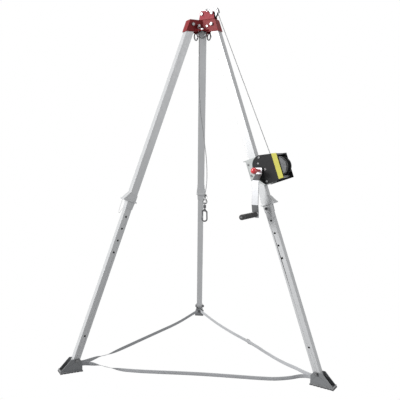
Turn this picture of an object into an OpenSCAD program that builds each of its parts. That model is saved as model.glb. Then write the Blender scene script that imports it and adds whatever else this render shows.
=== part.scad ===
// Rescue tripod: three telescopic legs on a welded head, a twin pulley on top, a crank winch on
// one leg, a steel cable with a swivel snap hook, and a webbing strap between the feet.
// Millimetres, +Z up. The origin is the point on the ground plumb under the head's centre.

/* [Legs] */
// Lean of each leg from plumb, in degrees
leg_splay = 20; // [16:1:24]
// Distance of the leg hinge bolts from the head's centre
pivot_r = 87; // [84:1:100]
// Length from hinge bolt to foot bolt
leg_len = 2285; // [2200:5:2400]
// Outer width of the square upper tube
tube_w = 50; // [48:1:52]
// Wall of the upper tube
tube_wall = 3; // [2:0.5:3]
// Lower end of the upper tube, from the hinge bolt
upper_len = 1214; // [1150:2:1260]
// Outer width of the square lower tube
slide_w = 43; // [40:0.5:43]
// Wall of the lower tube
slide_wall = 2.5; // [2:0.5:4]
// Length of the lower tube that stays inside the upper one
slide_overlap = 221; // [160:1:300]
// Distance between neighbouring holes of the lower tube
hole_pitch = 80; // [70:1:90]
// Number of height holes below the lock pin
hole_count = 5; // [3:1:6]
// Diameter of the height holes
hole_d = 12.5; // [11:0.5:14]
// Number of hole pitches that the lower tube slides in
slide_steps = 11; // [8:1:11]
/* [Leg casting] */
// Thickness of the casting's flange
flange_t = 9; // [6:1:12]
// Reach of the flange on the outward side
flange_out = 58; // [50:1:64]
// Reach of the flange on the inward side
flange_in = 35; // [30:1:40]
// Half width of the flange
flange_half = 32; // [30:1:38]
// Length of the sleeve round the upper tube
sleeve_len = 41; // [30:1:60]
// Wall of the sleeve
sleeve_wall = 2.6; // [2:0.2:4]
// Length of the spigot under the flange
spigot_len = 47; // [40:1:60]
// Clearance of the lower tube in the spigot, on each side
slide_gap = 0.4; // [0.3:0.1:0.5]
// Distance of the lock pin below the flange
pin_drop = 21; // [18:1:26]
/* [Lock pins] */
// Diameter of the spring lock pins
pin_d = 10; // [8:0.5:11]
// Clearance round a lock pin or a hinge bolt
run_gap = 0.05; // [0.03:0.01:0.08]
// Play between a drawn lock pin and the tube that it lets go
pin_play = 0.5; // [0.4:0.1:1]
/* [Head] */
// Outer width of each leg channel
head_w = 60; // [60:1:70]
// Sheet thickness of the head
head_wall = 4; // [3:0.5:4]
// Height of the head's top above the hinge bolts
head_rise = 30; // [29:1:36]
// Depth of the channels below the hinge bolts
head_drop = 46; // [40:1:52]
// Thickness of the web plates between the channels
web_t = 6; // [4:1:8]
// Place of the eye bolts, from the head's centre
eye_r = 50; // [48:1:54]
// Centre radius of the eye rings
eye_ring_r = 21; // [17:1:21]
// Diameter of the eye rings' wire
eye_wire_d = 8; // [6:0.5:9]
// Diameter of the hinge and axle bolts
bolt_d = 12; // [10:1:14]
/* [Pulley] */
// Height of the sheave axles above the head's top
sheave_rise = 44; // [42:1:50]
// Distance of the outer sheave's axle from the head's centre
outer_sheave_r = 79; // [77:1:82]
// Distance of the inner sheave's axle from the head's centre
inner_sheave_r = 5; // [3:1:6]
// Rim radius of the sheaves
sheave_rim_r = 34; // [33:0.5:35]
// Radius at which the cable's middle runs on the sheaves
rope_run_r = 30; // [29:0.5:30]
// Width of the sheaves' rims
sheave_w = 20; // [16:1:22]
// Distance between the pulley's cheeks
cheek_gap = 32; // [30:1:36]
// Thickness of the cheeks
cheek_t = 4; // [3:0.5:5]
// Cable diameter
rope_d = 5; // [4:0.5:5]
/* [Winch] */
// Place of the crank spindle along the leg
crank_s = 1008; // [990:1:1020]
// Distance of the crank spindle from the leg's middle line
crank_b = 44; // [42:1:46]
// Lean of the gear train to the leg's cross direction, in degrees
train_tilt = 6; // [4:1:8]
// Gear module
gear_m = 2.5; // [2.4:0.02:2.5]
// Teeth of the crank pinion
pinion_z = 14; // [12:1:14]
// Teeth of the idler
idler_z = 15; // [14:1:16]
// Teeth of the drum gear
drum_z = 48; // [44:1:48]
// Width of the drum gear
gear_w = 8; // [6:1:9]
// Thickness of the winch plates
plate_t = 4; // [3:0.5:5]
// Front face of the front plate, from the leg's middle plane
front_a = 66; // [64:1:72]
// Rear face of the rear plate, from the leg's middle plane
rear_a = 40; // [38:1:46]
// Radius of the cable's middle on the drum
wind_r = 34; // [33:1:40]
// Turns in the drum's outer layer
wind_turns = 4; // [3:1:5]
// Distance of neighbouring turns
wind_pitch = 5.6; // [5.5:0.05:5.7]
// Sheet thickness of the winch bracket
bracket_t = 4; // [3:0.5:5]
// Diameter of the spindle and the idler pin
spindle_d = 14; // [12:1:16]
// Diameter of the drum shaft
drum_shaft_d = 16; // [14:1:20]
/* [Crank] */
// Length of the crank from spindle to grip
crank_len = 270; // [240:1:280]
// Width of the crank's flat bar
crank_w = 43; // [36:1:46]
// Thickness of the crank's flat bar
crank_t = 6; // [5:0.5:8]
// Offset between the crank's hub and its flat
crank_joggle = 40; // [30:1:44]
// Diameter of the ball knob
knob_d = 40; // [34:1:44]
// Distance of the ball knob in front of the front plate
knob_reach = 79; // [70:1:90]
// Length of the hand grip
grip_len = 185; // [150:1:200]
// Diameter of the hand grip
grip_d = 34; // [28:1:38]
/* [Feet] */
// Height of the foot bolts above the ground
foot_z = 74; // [70:1:80]
// Distance of the shoe's heel behind the foot bolt
heel_back = 37; // [34:1:42]
// Distance of the shoe's toe in front of the foot bolt
toe_front = 106; // [90:1:110]
// Thickness of the rubber sole
sole_t = 6; // [5:1:8]
// Sheet thickness of the shoe
shoe_t = 4; // [3:0.5:5]
// Clearance between the lower tube and the shoe's cheeks
shoe_gap = 1.5; // [1:0.5:2]
// Width of the shoe's base and sole
sole_w = 70; // [66:1:80]
/* [Strap] */
// Width of the webbing
strap_w = 25; // [20:1:25]
// Thickness of the webbing
strap_t = 2; // [1.5:0.5:3]

/* [Hidden] */
$fn = 48;
eps = 0.01;

left_az = 210;
right_az = 330;
rear_az = 90;
legs_az = [left_az, right_az, rear_az];
webs_az = [270, 30, 150];
bolt_r = bolt_d / 2;
bolt_bore_r = bolt_r + run_gap;
pin_r = pin_d / 2;
pin_bore_r = pin_r + run_gap;
rope_r = rope_d / 2;
hex_factor = 1.75;
nut_factor = 0.8;
head_factor = 0.62;

// Heights that follow from the leg
pivot_z = foot_z + leg_len * cos(leg_splay);
foot_r = pivot_r + leg_len * sin(leg_splay);
head_top = pivot_z + head_rise;
head_bottom = pivot_z - head_drop;
tube_half = tube_w / 2;
slide_half = slide_w / 2;
slide_top = upper_len - slide_overlap;
slide_end = leg_len + 28;
bore_half = slide_half + slide_gap;
// Inner face of a leg pin's knob, clear of its boss when the pin is home
knob_y = bore_half + 19.6;
knob_t = 4;
flange_end = upper_len + flange_t;
pin_s = flange_end + pin_drop;

// Head: channels, stops, lock pins
channel_half = head_w / 2 - head_wall;
stop_b = tube_half + 0.3;
lug_t = 8;
lug_b = tube_half + 10;
lug_s = -2;
lug_r = pin_r + 6.5;
lock_tip = tube_half + pin_play;
lock_boss = 6;
lock_out = 14;
web_z = head_bottom + 7;
eye_wire_r = eye_wire_d / 2;
eye_out_r = eye_ring_r + eye_wire_r;
eye_z = web_z - eye_out_r - 1;
eye_bolt_r = 5;
web_reach = 70;
rope_hole_r = 5;

// Pulley
axle_z = head_top + sheave_rise;
cheek_in = cheek_gap / 2;
cheek_out = cheek_in + cheek_t;
keeper_r = rope_run_r + 10;
keeper_from = -5;
keeper_mid = 100;
keeper_to = 160;
hang_r = inner_sheave_r - rope_run_r;

// Winch gear train, in the leg's own frame: b outward, s down the leg
pinion_pitch_r = gear_m * pinion_z / 2;
idler_pitch_r = gear_m * idler_z / 2;
drum_pitch_r = gear_m * drum_z / 2;
idler_x = pinion_pitch_r + idler_pitch_r;
drum_x = idler_x + idler_pitch_r + drum_pitch_r;
drum_b = crank_b + drum_x * cos(train_tilt);
drum_s = crank_s + drum_x * sin(train_tilt);
spindle_r = spindle_d / 2;
front_in = front_a - plate_t;
rear_in = rear_a - plate_t;
gear_front = front_in - 2;
gear_back = gear_front - gear_w;
drum_flange_t = 4;
drum_front = gear_back - 2;
drum_back = 18;
wind_from = drum_back - drum_flange_t - rope_r - 0.3;
wind_to = wind_from - wind_turns * wind_pitch;
wing_out = tube_half + bracket_t;
idler_place = [crank_b + idler_x * cos(train_tilt), crank_s + idler_x * sin(train_tilt)];
tie_places = [[crank_b + 20, crank_s - 78], [crank_b + 26, crank_s + 78]];
bar_places = [[drum_b + 12, crank_s - 60], [drum_b + 12, crank_s + 82]];
clamp_places = [[-38, crank_s - 62], [-38, crank_s + 10]];
pawl_place = [crank_b + 4, crank_s - 44];
spindle_end = front_a + 34;
ratchet_front = gear_back - 3;
tie_r = 4;
ratchet_t = 6;
ratchet_z = 12;
ratchet_r = 24;

// Straight cable between the outer sheave and the drum, tangent to both
sheave_b = (outer_sheave_r - pivot_r) * cos(leg_splay) + (axle_z - pivot_z) * sin(leg_splay);
sheave_s = (outer_sheave_r - pivot_r) * sin(leg_splay) - (axle_z - pivot_z) * cos(leg_splay);
span_b = drum_b - sheave_b;
span_s = drum_s - sheave_s;
span = sqrt(span_b * span_b + span_s * span_s);
cross = asin((rope_run_r + wind_r) / span);
along = atan2(span_s, span_b);
side = along - 90 + cross;
side_b = cos(side);
side_s = sin(side);
sheave_exit = [sheave_b + rope_run_r * side_b, sheave_s + rope_run_r * side_s];
drum_exit = [drum_b - wind_r * side_b, drum_s - wind_r * side_s];
exit_angle = leg_splay - side;

// Foot
cheek_half = slide_half + shoe_gap;
heel_r = foot_r - heel_back;
slot_a = 14;
slot_h = 29;
strap_z = 42;

// Hook under the cable: places measured from the cable end
hook_x = 40;
hook_y = 12;
ferrule_top = 1108;
thimble_z = ferrule_top - 52;
loop_r = 15;
swivel_z = thimble_z - 28;

// Cable route from the inner sheave to the ferrule, chosen by hand
hang_route = [[-21.65, 12.5, 2294.8], [-21.65, 12.5, 2240], [-21.6, 12.5, 2176], [-21, 12, 2110],
    [-20, 12, 2040], [-19, 12, 1950], [-17, 12, 1850], [-11, 12, 1770], [0, 12, 1650], [17, 12, 1540],
    [31, 12, 1440], [41, 12, 1370], [48, 12, 1290], [50, 12, 1210], [46, 12, 1150], [42, 12, 1122],
    [40, 12, 1108.3]];
// Strap routes between the heels, chosen by hand: X, Y, Z and the lean of the webbing from flat
front_route = [[-655, -412, 40, 88], [-600, -410, 33, 30], [-540, -412, 22, 20], [-460, -418, 15, 70],
    [-360, -423, 14, 82], [-240, -421, 14, 84], [-110, -416, 14, 84], [20, -413, 14, 84],
    [150, -415, 14, 84], [280, -420, 14, 84], [400, -424, 14, 84], [500, -424, 16, 84],
    [590, -419, 26, 85], [655, -412, 38, 88]];
left_route = [[-676, -348, 40, 88], [-648, -292, 34, 60], [-612, -224, 24, 15], [-562, -134, 16, 60],
    [-510, -42, 14, 82], [-452, 60, 14, 84], [-394, 162, 14, 84], [-330, 274, 14, 84],
    [-268, 382, 14, 84], [-206, 490, 14, 84], [-146, 596, 18, 85], [-92, 690, 27, 86],
    [-46, 766, 37, 88]];
right_route = [[46, 766, 37, 88], [92, 690, 27, 86], [150, 592, 18, 85], [208, 490, 15, 84],
    [266, 388, 15, 84], [322, 292, 17, 84], [375, 200, 19, 84], [430, 106, 17, 84],
    [488, 4, 15, 84], [546, -98, 15, 84], [598, -188, 20, 85], [642, -272, 31, 86],
    [676, -346, 40, 88]];

// Frame of one leg: X outward, Y across, Z back up the leg, zero at its hinge bolt
module on_leg(az) {
    rotate([0, 0, az])
        translate([pivot_r, 0, pivot_z])
            rotate([0, -leg_splay, 0])
                children();
}

// Upright frame at one foot bolt
module on_foot(az) {
    rotate([0, 0, az])
        translate([foot_r, 0, foot_z])
            children();
}

// Frame of the gear train, zero at the crank spindle
module on_train() {
    on_leg(right_az)
        translate([crank_b, 0, -crank_s])
            rotate([0, train_tilt, 0])
                children();
}

// Round bar along Y from y0 to y1
module bar_y(r, y0, y1) {
    translate([0, y1, 0])
        rotate([90, 0, 0])
            cylinder(r = r, h = y1 - y0);
}

// Flat outline in X and Z, thick from y0 to y1
module sheet_y(y0, y1) {
    translate([0, y1, 0])
        rotate([90, 0, 0])
            linear_extrude(y1 - y0)
                children();
}

// Hexagon bar along Y, by the distance of its corners from its middle
module hex_y(r, y0, y1) {
    translate([0, y1, 0])
        rotate([90, 0, 0])
            cylinder(r = r, h = y1 - y0, $fn = 6);
}

// Bolt along Y with its head at y1 and its nut at y0, as two solids
module bolt_y(r, y0, y1) {
    nut_h = nut_factor * 2 * r;
    head_h = head_factor * 2 * r;
    bar_y(r, y0 - nut_h - 3, y1 + eps);
    hex_y(hex_factor * r, y1, y1 + head_h);
    difference() {
        hex_y(hex_factor * r, y0 - nut_h, y0);
        bar_y(r + run_gap, y0 - nut_h - 1, y0 + 1);
    }
}

// Square tube from s0 to s1 along the leg
module box_tube(w, wall, s0, s1) {
    translate([0, 0, -s1])
        linear_extrude(s1 - s0)
            difference() {
                square(w, center = true);
                square(w - 2 * wall, center = true);
            }
}

// Points of an arc in the plane
function arc(cx, cy, r, a0, a1, n) =
    [for (i = [0 : n]) [cx + r * cos(a0 + (a1 - a0) * i / n), cy + r * sin(a0 + (a1 - a0) * i / n)]];

// Involute gear outline with backlash, one tooth centred on angle zero
function inv_pt(rb, r, half) =
    let (t = sqrt(max(0, r * r / (rb * rb) - 1)), v = t * 180 / PI - atan(t), q = half - v)
    [r * cos(q), r * sin(q)];
function tooth(m, z) =
    let (rp = m * z / 2, rb = rp * cos(20), ro = rp + 0.9 * m, rr = rp - 1.25 * m,
        tp = sqrt(rp * rp / (rb * rb) - 1),
        base = 90 / z - 0.1 / rp * 180 / PI + tp * 180 / PI - atan(tp),
        rs = [max(rb, rr + 0.2), (max(rb, rr) + rp) / 2, rp, (rp + ro) / 2, ro],
        up = [for (r = rs) inv_pt(rb, r, base)])
    concat([[rr * cos(0.8 * base), -rr * sin(0.8 * base)]], [for (p = up) [p[0], -p[1]]],
        [for (i = [4 : -1 : 0]) up[i]], [[rr * cos(0.8 * base), rr * sin(0.8 * base)]]);
function gear_points(m, z) =
    [for (i = [0 : z - 1]) for (p = tooth(m, z))
        [p[0] * cos(360 * i / z) - p[1] * sin(360 * i / z),
            p[0] * sin(360 * i / z) + p[1] * cos(360 * i / z)]];

// Gear round the Y axis from y0 to y1, turned by phase
module gear_y(z, y0, y1, phase) {
    rotate([0, phase, 0])
        sheet_y(y0, y1)
            polygon(gear_points(gear_m, z));
}

// Unit vector, cross product frame and tube along points
function unit(v) = v / norm(v);
function heading(p, i) =
    i == 0 ? unit(p[1] - p[0])
    : i == len(p) - 1 ? unit(p[i] - p[i - 1])
    : unit(unit(p[i + 1] - p[i]) + unit(p[i] - p[i - 1]));
function ring_of(c, u, w, n, r) =
    [for (k = [0 : n - 1]) c + u * r * cos(360 * (k + 0.5) / n) + w * r * sin(360 * (k + 0.5) / n)];
function skin(rings, n, count) = concat(
    [[for (k = [0 : n - 1]) k]],
    [for (i = [0 : count - 2]) for (k = [0 : n - 1])
        for (t = [[i * n + k, (i + 1) * n + k, (i + 1) * n + (k + 1) % n],
                  [i * n + k, (i + 1) * n + (k + 1) % n, i * n + (k + 1) % n]]) t],
    [[for (k = [n - 1 : -1 : 0]) (count - 1) * n + k]]);

// Tube of radius r with n sides along points, up is any direction never along it
module tube(points, r, n, up) {
    count = len(points);
    rings = [for (i = [0 : count - 1])
        let (d = heading(points, i), u = unit(cross(d, up)), w = cross(d, u))
        ring_of(points[i], u, w, n, r)];
    polyhedron([for (g = rings) for (q = g) q], skin(rings, n, count), convexity = 10);
}

// Flat webbing along a route whose fourth number is the lean from flat
module webbing(route) {
    count = len(route);
    points = [for (q = route) [q[0], q[1], q[2]]];
    rings = [for (i = [0 : count - 1])
        let (d = heading(points, i), u0 = unit(cross(d, [0, 0, 1])), w0 = cross(u0, d), q = route[i][3],
            u = u0 * cos(q) + w0 * sin(q), w = w0 * cos(q) - u0 * sin(q))
        [for (k = [[1, -1], [1, 1], [-1, 1], [-1, -1]])
            points[i] + u * k[0] * strap_w / 2 + w * k[1] * strap_t / 2]];
    polyhedron([for (g = rings) for (q = g) q], skin(rings, 4, count), convexity = 10);
}

// Head

// Height profile of a channel that ends along the leg's face, at distance b in front of it
function channel_profile(b, z0, z1) =
    [[0, z0], [leg_face_r(b, z0), z0], [leg_face_r(b, z1), z1], [0, z1]];
function leg_face_r(b, z) =
    pivot_r + b * cos(leg_splay) + (pivot_z + b * sin(leg_splay) - z) * tan(leg_splay);

module web_plate(az) {
    wall_out = head_w / 2;
    corner = wall_out / sin(60);
    tip_u = web_reach * cos(60) + wall_out * sin(60);
    tip_v = web_reach * sin(60) - wall_out * cos(60);
    rotate([0, 0, az])
        translate([0, 0, web_z])
            linear_extrude(web_t)
                polygon([[corner - 3, 0], [tip_u, -tip_v - 2], [tip_u + 3, -tip_v / 2],
                    [tip_u + 3, tip_v / 2], [tip_u, tip_v + 2]]);
}

module head_body() {
    color("firebrick")
        difference() {
            union() {
                difference() {
                    union() {
                        for (az = legs_az)
                            rotate([0, 0, az])
                                sheet_y(-head_w / 2, head_w / 2)
                                    polygon(channel_profile(stop_b + head_wall, head_bottom, head_top));
                    }
                    for (az = legs_az)
                        rotate([0, 0, az])
                            sheet_y(-channel_half, channel_half)
                                polygon(channel_profile(stop_b, head_bottom - 1, head_top - head_wall));
                }
                for (az = webs_az)
                    web_plate(az);
                for (az = legs_az)
                    on_leg(az)
                        translate([-lug_b, 0, -lug_s])
                            bar_y(pin_r + 6, head_w / 2 - 1, head_w / 2 + lock_boss);
            }
            for (az = legs_az)
                on_leg(az) {
                    bar_y(bolt_bore_r, -head_w, head_w);
                    translate([-lug_b, 0, -lug_s]) {
                        bar_y(pin_bore_r, 0, head_w);
                        bar_y(4 + run_gap, -head_w, 0);
                    }
                }
            for (az = webs_az)
                rotate([0, 0, az])
                    translate([eye_r, 0, web_z - 1])
                        cylinder(r = eye_bolt_r + run_gap, h = web_t + 2);
            rotate([0, 0, right_az])
                translate([hang_r, 0, head_bottom - 1])
                    cylinder(r = rope_hole_r, h = head_top - head_bottom + 2);
        }
}

module head_bolts() {
    color("silver") {
        for (az = legs_az) {
            on_leg(az)
                bolt_y(bolt_r, -head_w / 2, head_w / 2);
            on_leg(az)
                translate([-lug_b, 0, -lug_s]) {
                    bar_y(4, -head_w / 2 - eps, -channel_half);
                    hex_y(7.5, -head_w / 2 - 5, -head_w / 2);
                }
        }
        for (r = [outer_sheave_r, inner_sheave_r])
            rotate([0, 0, right_az])
                translate([r, 0, axle_z])
                    mirror([0, 1, 0])
                        bolt_y(bolt_r, -cheek_out, cheek_out);
    }
}

module pulley_cheeks() {
    lobe = bolt_r + 7;
    top = sheave_rise + 19;
    color("indianred")
        rotate([0, 0, right_az])
            translate([0, 0, head_top])
                difference() {
                    union() {
                        for (side_y = [-cheek_out, cheek_in])
                            sheet_y(side_y, side_y + cheek_t)
                                polygon(concat([[-14, 0], [-14, top - 10], [-5, top], [47, top], [58,
                                    sheave_rise]],
                                    arc(outer_sheave_r, sheave_rise, lobe, 170, 0, 12), [[96, 22], [100,
                                        0]]));
                        translate([-14, -cheek_out, 0])
                            cube([114, 2 * cheek_out, cheek_t]);
                    }
                    for (r = [outer_sheave_r, inner_sheave_r])
                        translate([r, 0, sheave_rise])
                            bar_y(bolt_bore_r, -head_w, head_w);
                    translate([outer_sheave_r, 0, sheave_rise])
                        rotate([0, -keeper_to, 0])
                            translate([keeper_r, 0, 0])
                                bar_y(2.5 + run_gap, -head_w, head_w);
                }
}

module sheave(r) {
    root = rope_run_r - rope_r - 0.1;
    color("silver")
        rotate([0, 0, right_az])
            translate([r, 0, axle_z])
                rotate([90, 0, 0])
                    rotate_extrude($fn = 96)
                        polygon([[bolt_bore_r, -cheek_in + 0.3], [12, -cheek_in + 0.3], [12, -sheave_w / 2],
                            [sheave_rim_r, -sheave_w / 2], [sheave_rim_r, -rope_r - 3.5],
                            [root, -rope_r - 0.2], [root, rope_r + 0.2], [sheave_rim_r, rope_r + 3.5],
                            [sheave_rim_r, sheave_w / 2], [12, sheave_w / 2], [12, cheek_in - 0.3],
                            [bolt_bore_r, cheek_in - 0.3]]);
}

// Part of a ring round Y, between two angles, from its flat section
module arc_y(a0, a1) {
    rotate([90, 0, 0])
        rotate([0, 0, a0])
            rotate_extrude(angle = a1 - a0, $fn = 96)
                children();
}

module rope_keeper() {
    strip = 2.4;
    arm_y = sheave_w / 2 + 1;
    color("silver")
        rotate([0, 0, right_az])
            translate([outer_sheave_r, 0, axle_z]) {
                difference() {
                    arc_y(keeper_from, keeper_to)
                        translate([keeper_r - strip / 2, -arm_y - strip / 2])
                            square([strip, 2 * arm_y + strip]);
                    arc_y(keeper_mid, keeper_to + 20)
                        translate([keeper_r - strip, -arm_y + strip / 2])
                            square([2 * strip, 2 * arm_y - strip]);
                }
                rotate([0, -keeper_to, 0])
                    translate([keeper_r, 0, 0])
                        bar_y(2.5, -cheek_out - 1, cheek_out + 1);
            }
}

module eye_bolts() {
    nut_h = 8;
    color("silver")
        for (az = webs_az)
            rotate([0, 0, az])
                translate([eye_r, 0, 0]) {
                    translate([0, 0, eye_z])
                        rotate([0, 90, 0])
                            rotate_extrude($fn = 64)
                                translate([eye_ring_r, 0])
                                    circle(r = eye_wire_r, $fn = 32);
                    translate([0, 0, eye_z + eye_ring_r])
                        cylinder(r = 8, h = web_z - eye_z - eye_ring_r);
                    translate([0, 0, web_z - 1])
                        cylinder(r = eye_bolt_r, h = web_t + nut_h + 3);
                    translate([0, 0, web_z + web_t])
                        difference() {
                            cylinder(r = 9.5, h = nut_h, $fn = 6);
                            translate([0, 0, -1])
                                cylinder(r = eye_bolt_r + run_gap, h = nut_h + 2);
                        }
                }
}

// Pull pin along Y: its tip at tip_y, its ring beyond out_y
module pull_pin(tip_y, out_y) {
    ring_r = 10;
    bar_y(pin_r, tip_y, out_y);
    bar_y(pin_r + 2.5, out_y - eps, out_y + 4);
    translate([0, out_y + 4, -ring_r + 1])
        rotate([90, 0, 0])
            rotate_extrude($fn = 48)
                translate([ring_r, 0])
                    circle(r = 1.6, $fn = 24);
}

module head_pin(az) {
    color("silver")
        on_leg(az)
            translate([-lug_b, 0, -lug_s])
                rotate([0, leg_splay, 0])
                    pull_pin(lock_tip, head_w / 2 + lock_boss + lock_out);
}

module head_lanyards() {
    color("dimgray")
        for (az = legs_az)
            on_leg(az)
                tube([[-42, 54, -19.2], [-44, 52, -34], [-47, 46, -50], [-51, 38, -60], [-54, 31, -58],
                    [-55.4, 28, -44], [-55.4, 28, -30]], 1, 6, [1, 0, 0]);
}

// Legs

module upper_tube(az) {
    color("whitesmoke")
        on_leg(az)
            difference() {
                union() {
                    intersection() {
                        box_tube(tube_w, tube_wall, -tube_half, upper_len);
                        union() {
                            bar_y(tube_half, -tube_half, tube_half);
                            translate([-tube_half, -tube_half, -upper_len])
                                cube([tube_w, tube_w, upper_len]);
                        }
                    }
                    sheet_y(tube_half - lug_t, tube_half)
                        polygon(concat([[-tube_half + 1, 12]], arc(-lug_b, -lug_s, lug_r, 100, 260, 12),
                            [[-tube_half + 1, -18]]));
                }
                bar_y(bolt_bore_r, -tube_w, tube_w);
                translate([-lug_b, 0, -lug_s])
                    bar_y(pin_r + 0.4, 0, tube_w);
            }
}

module collar(az) {
    fit = 0.1;
    sleeve_half = tube_half + fit + sleeve_wall;
    top_s = upper_len - sleeve_len;
    foot_half = bore_half + 1.6;
    root_half = bore_half + 4.1;
    boss_out = root_half + 5;
    color("gainsboro")
        on_leg(az)
            difference() {
                union() {
                    translate([-sleeve_half, -sleeve_half, -upper_len])
                        cube([2 * sleeve_half, 2 * sleeve_half, sleeve_len]);
                    translate([-flange_in, -flange_half, -flange_end])
                        cube([flange_in + flange_out, 2 * flange_half, flange_t]);
                    sheet_y(-sleeve_half, sleeve_half)
                        polygon([[sleeve_half - 1, -upper_len], [flange_out - 3, -upper_len],
                            [sleeve_half, -top_s + 4], [sleeve_half - 1, -top_s + 4]]);
                    intersection() {
                        sheet_y(-flange_half, flange_half)
                            polygon([[-root_half, -flange_end + 1], [root_half, -flange_end + 1],
                                [foot_half, -flange_end - spigot_len],
                                [-foot_half, -flange_end - spigot_len]]);
                        rotate([0, 0, 90])
                            sheet_y(-flange_half, flange_half)
                                polygon([[-root_half, -flange_end + 1], [root_half, -flange_end + 1],
                                    [foot_half, -flange_end - spigot_len],
                                    [-foot_half, -flange_end - spigot_len]]);
                    }
                    translate([0, 0, -pin_s])
                        bar_y(pin_r + 5, -boss_out, -bore_half);
                }
                translate([-tube_half - fit, -tube_half - fit, -upper_len])
                    cube([tube_w + 2 * fit, tube_w + 2 * fit, sleeve_len + 10]);
                translate([-bore_half, -bore_half, -flange_end - spigot_len - 1])
                    cube([2 * bore_half, 2 * bore_half, flange_t + spigot_len + 2]);
                translate([0, 0, -pin_s])
                    bar_y(pin_bore_r, -boss_out - 1, 0);
            }
}

module lower_tube(az) {
    color("whitesmoke")
        on_leg(az)
            difference() {
                box_tube(slide_w, slide_wall, slide_top, slide_end);
                for (i = [0 : hole_count - 1])
                    translate([0, 0, -pin_s - i * hole_pitch])
                        bar_y(hole_d / 2, -slide_w, slide_w);
                translate([0, 0, -pin_s - slide_steps * hole_pitch])
                    bar_y(hole_d / 2, -slide_w, slide_w);
                translate([0, 0, -leg_len])
                    bar_y(bolt_bore_r, -slide_w, slide_w);
            }
}

module leg_pin(az) {
    color("dimgray")
        on_leg(az)
            translate([0, 0, -pin_s]) {
                bar_y(pin_r, -knob_y, -slide_half - pin_play);
                bar_y(pin_r + 3, -knob_y - knob_t, -knob_y + eps);
            }
}

module leg_lanyard(az) {
    start_y = -knob_y - knob_t - 1.7;
    color("dimgray")
        on_leg(az)
            tube([[0, start_y, -pin_s - 1], [6, start_y - 3.6, -pin_s - 16],
                [18, start_y + 3.4, -pin_s - 44], [30, start_y + 9.4, -pin_s - 70],
                [38, start_y + 15.4, -pin_s - 64], [42, start_y + 19.4, -pin_s - 36],
                [44, start_y + 21.4, -flange_end - 8], [44, start_y + 21.4, -flange_end - 0.3]],
                1, 6, [0, 1, 0]);
}

module foot_bolt(az) {
    outer = cheek_half + shoe_t;
    color("silver")
        on_foot(az)
            bolt_y(bolt_r, -outer, outer);
}

// Shoe: two cheeks, base, heel plate with the webbing slot, and toe lip
module shoe(az) {
    outer = cheek_half + shoe_t;
    base = sole_t - foot_z;
    toe_x = toe_front;
    slot_w = strap_t + 2;
    color("darkgray")
        on_foot(az)
            difference() {
                union() {
                    for (side_y = [-outer, cheek_half])
                        sheet_y(side_y, side_y + shoe_t)
                            polygon([[-heel_back, base], [-heel_back, base + 46], [-18, base + 78], [36,
                                base + 78],
                                [toe_x, base + 6], [toe_x, base]]);
                    translate([-heel_back, -sole_w / 2, base])
                        cube([heel_back + toe_x, sole_w, shoe_t]);
                    translate([-heel_back, -outer, base])
                        cube([shoe_t, 2 * outer, 54]);
                    translate([toe_x - shoe_t, -outer, base])
                        cube([shoe_t, 2 * outer, 14]);
                }
                bar_y(bolt_bore_r, -sole_w, sole_w);
                for (a = [-slot_a, slot_a])
                    translate([-heel_back - 1, a - slot_w / 2, strap_z - foot_z - slot_h / 2])
                        cube([shoe_t + 2, slot_w, slot_h]);
            }
}

module sole(az) {
    tread_w = 8;
    tread_n = 7;
    length = heel_back + toe_front + 4;
    step = length / tread_n;
    color("black")
        on_foot(az)
            translate([-heel_back - 2, -sole_w / 2, -foot_z])
                difference() {
                    cube([length, sole_w, sole_t]);
                    for (i = [1 : tread_n - 1])
                        translate([i * step - tread_w / 4, -1, -1])
                            cube([tread_w / 2, sole_w + 2, 3]);
                }
}

// Winch

// Place on the leg's plane, from its distance off the middle line and along the leg
module at_leg(place) {
    translate([place[0], 0, -place[1]])
        children();
}

module winch_bracket() {
    top_s = crank_s - 89;
    low_s = crank_s + 93;
    wing_b = idler_place[0] + 12;
    back_b = 50;
    color("darkseagreen")
        on_leg(right_az)
            difference() {
                union() {
                    for (side_y = [-wing_out, tube_half])
                        sheet_y(side_y, side_y + bracket_t)
                            polygon([[-back_b, -top_s], [wing_b, -top_s], [wing_b, -low_s], [34, -low_s],
                                [-back_b, -top_s - 129]]);
                    translate([tube_half, -wing_out, -low_s])
                        cube([bracket_t, 2 * wing_out, low_s - top_s]);
                    translate([-66, -wing_out, -top_s])
                        cube([100, 2 * wing_out, bracket_t]);
                    translate([tube_half, -wing_out, -low_s])
                        cube([40, 2 * wing_out, bracket_t]);
                }
                translate([-tube_half, -tube_half, -low_s - 1])
                    cube([tube_w, tube_w, low_s - top_s + 20]);
                for (place = [[crank_b, crank_s], idler_place])
                    at_leg(place)
                        bar_y(spindle_r + run_gap, -wing_out - 1, 0);
                for (place = concat(tie_places, clamp_places))
                    at_leg(place)
                        bar_y(tie_r + run_gap, -wing_out - 1, wing_out + 1);
            }
}

// Outline of the front plate: rounded towards the crank, straight at the drum
module front_outline() {
    nose_r = 61;
    nose_s = crank_s - 31;
    inner_b = crank_b - 40;
    low_s = crank_s + 94;
    polygon(concat([[drum_b + 22, -crank_s + 68]], arc(inner_b + nose_r, -nose_s, nose_r, 90, 180, 12),
        [[inner_b, -crank_s - 37], [crank_b + 11, -low_s], [drum_b + 22, -low_s]]));
}

module front_plate() {
    color("black")
        on_leg(right_az)
            difference() {
                sheet_y(-front_a, -front_in)
                    front_outline();
                for (place = tie_places)
                    at_leg(place)
                        bar_y(tie_r + run_gap, -front_a - 1, 0);
                at_leg([drum_b, drum_s])
                    bar_y(drum_shaft_d / 2 + run_gap, -front_a - 1, 0);
                for (place = [[crank_b, crank_s], idler_place])
                    at_leg(place)
                        bar_y(spindle_r + run_gap, -front_a - 1, 0);
                at_leg(pawl_place)
                    bar_y(4 + run_gap, -front_a - 1, 0);
            }
}

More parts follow.
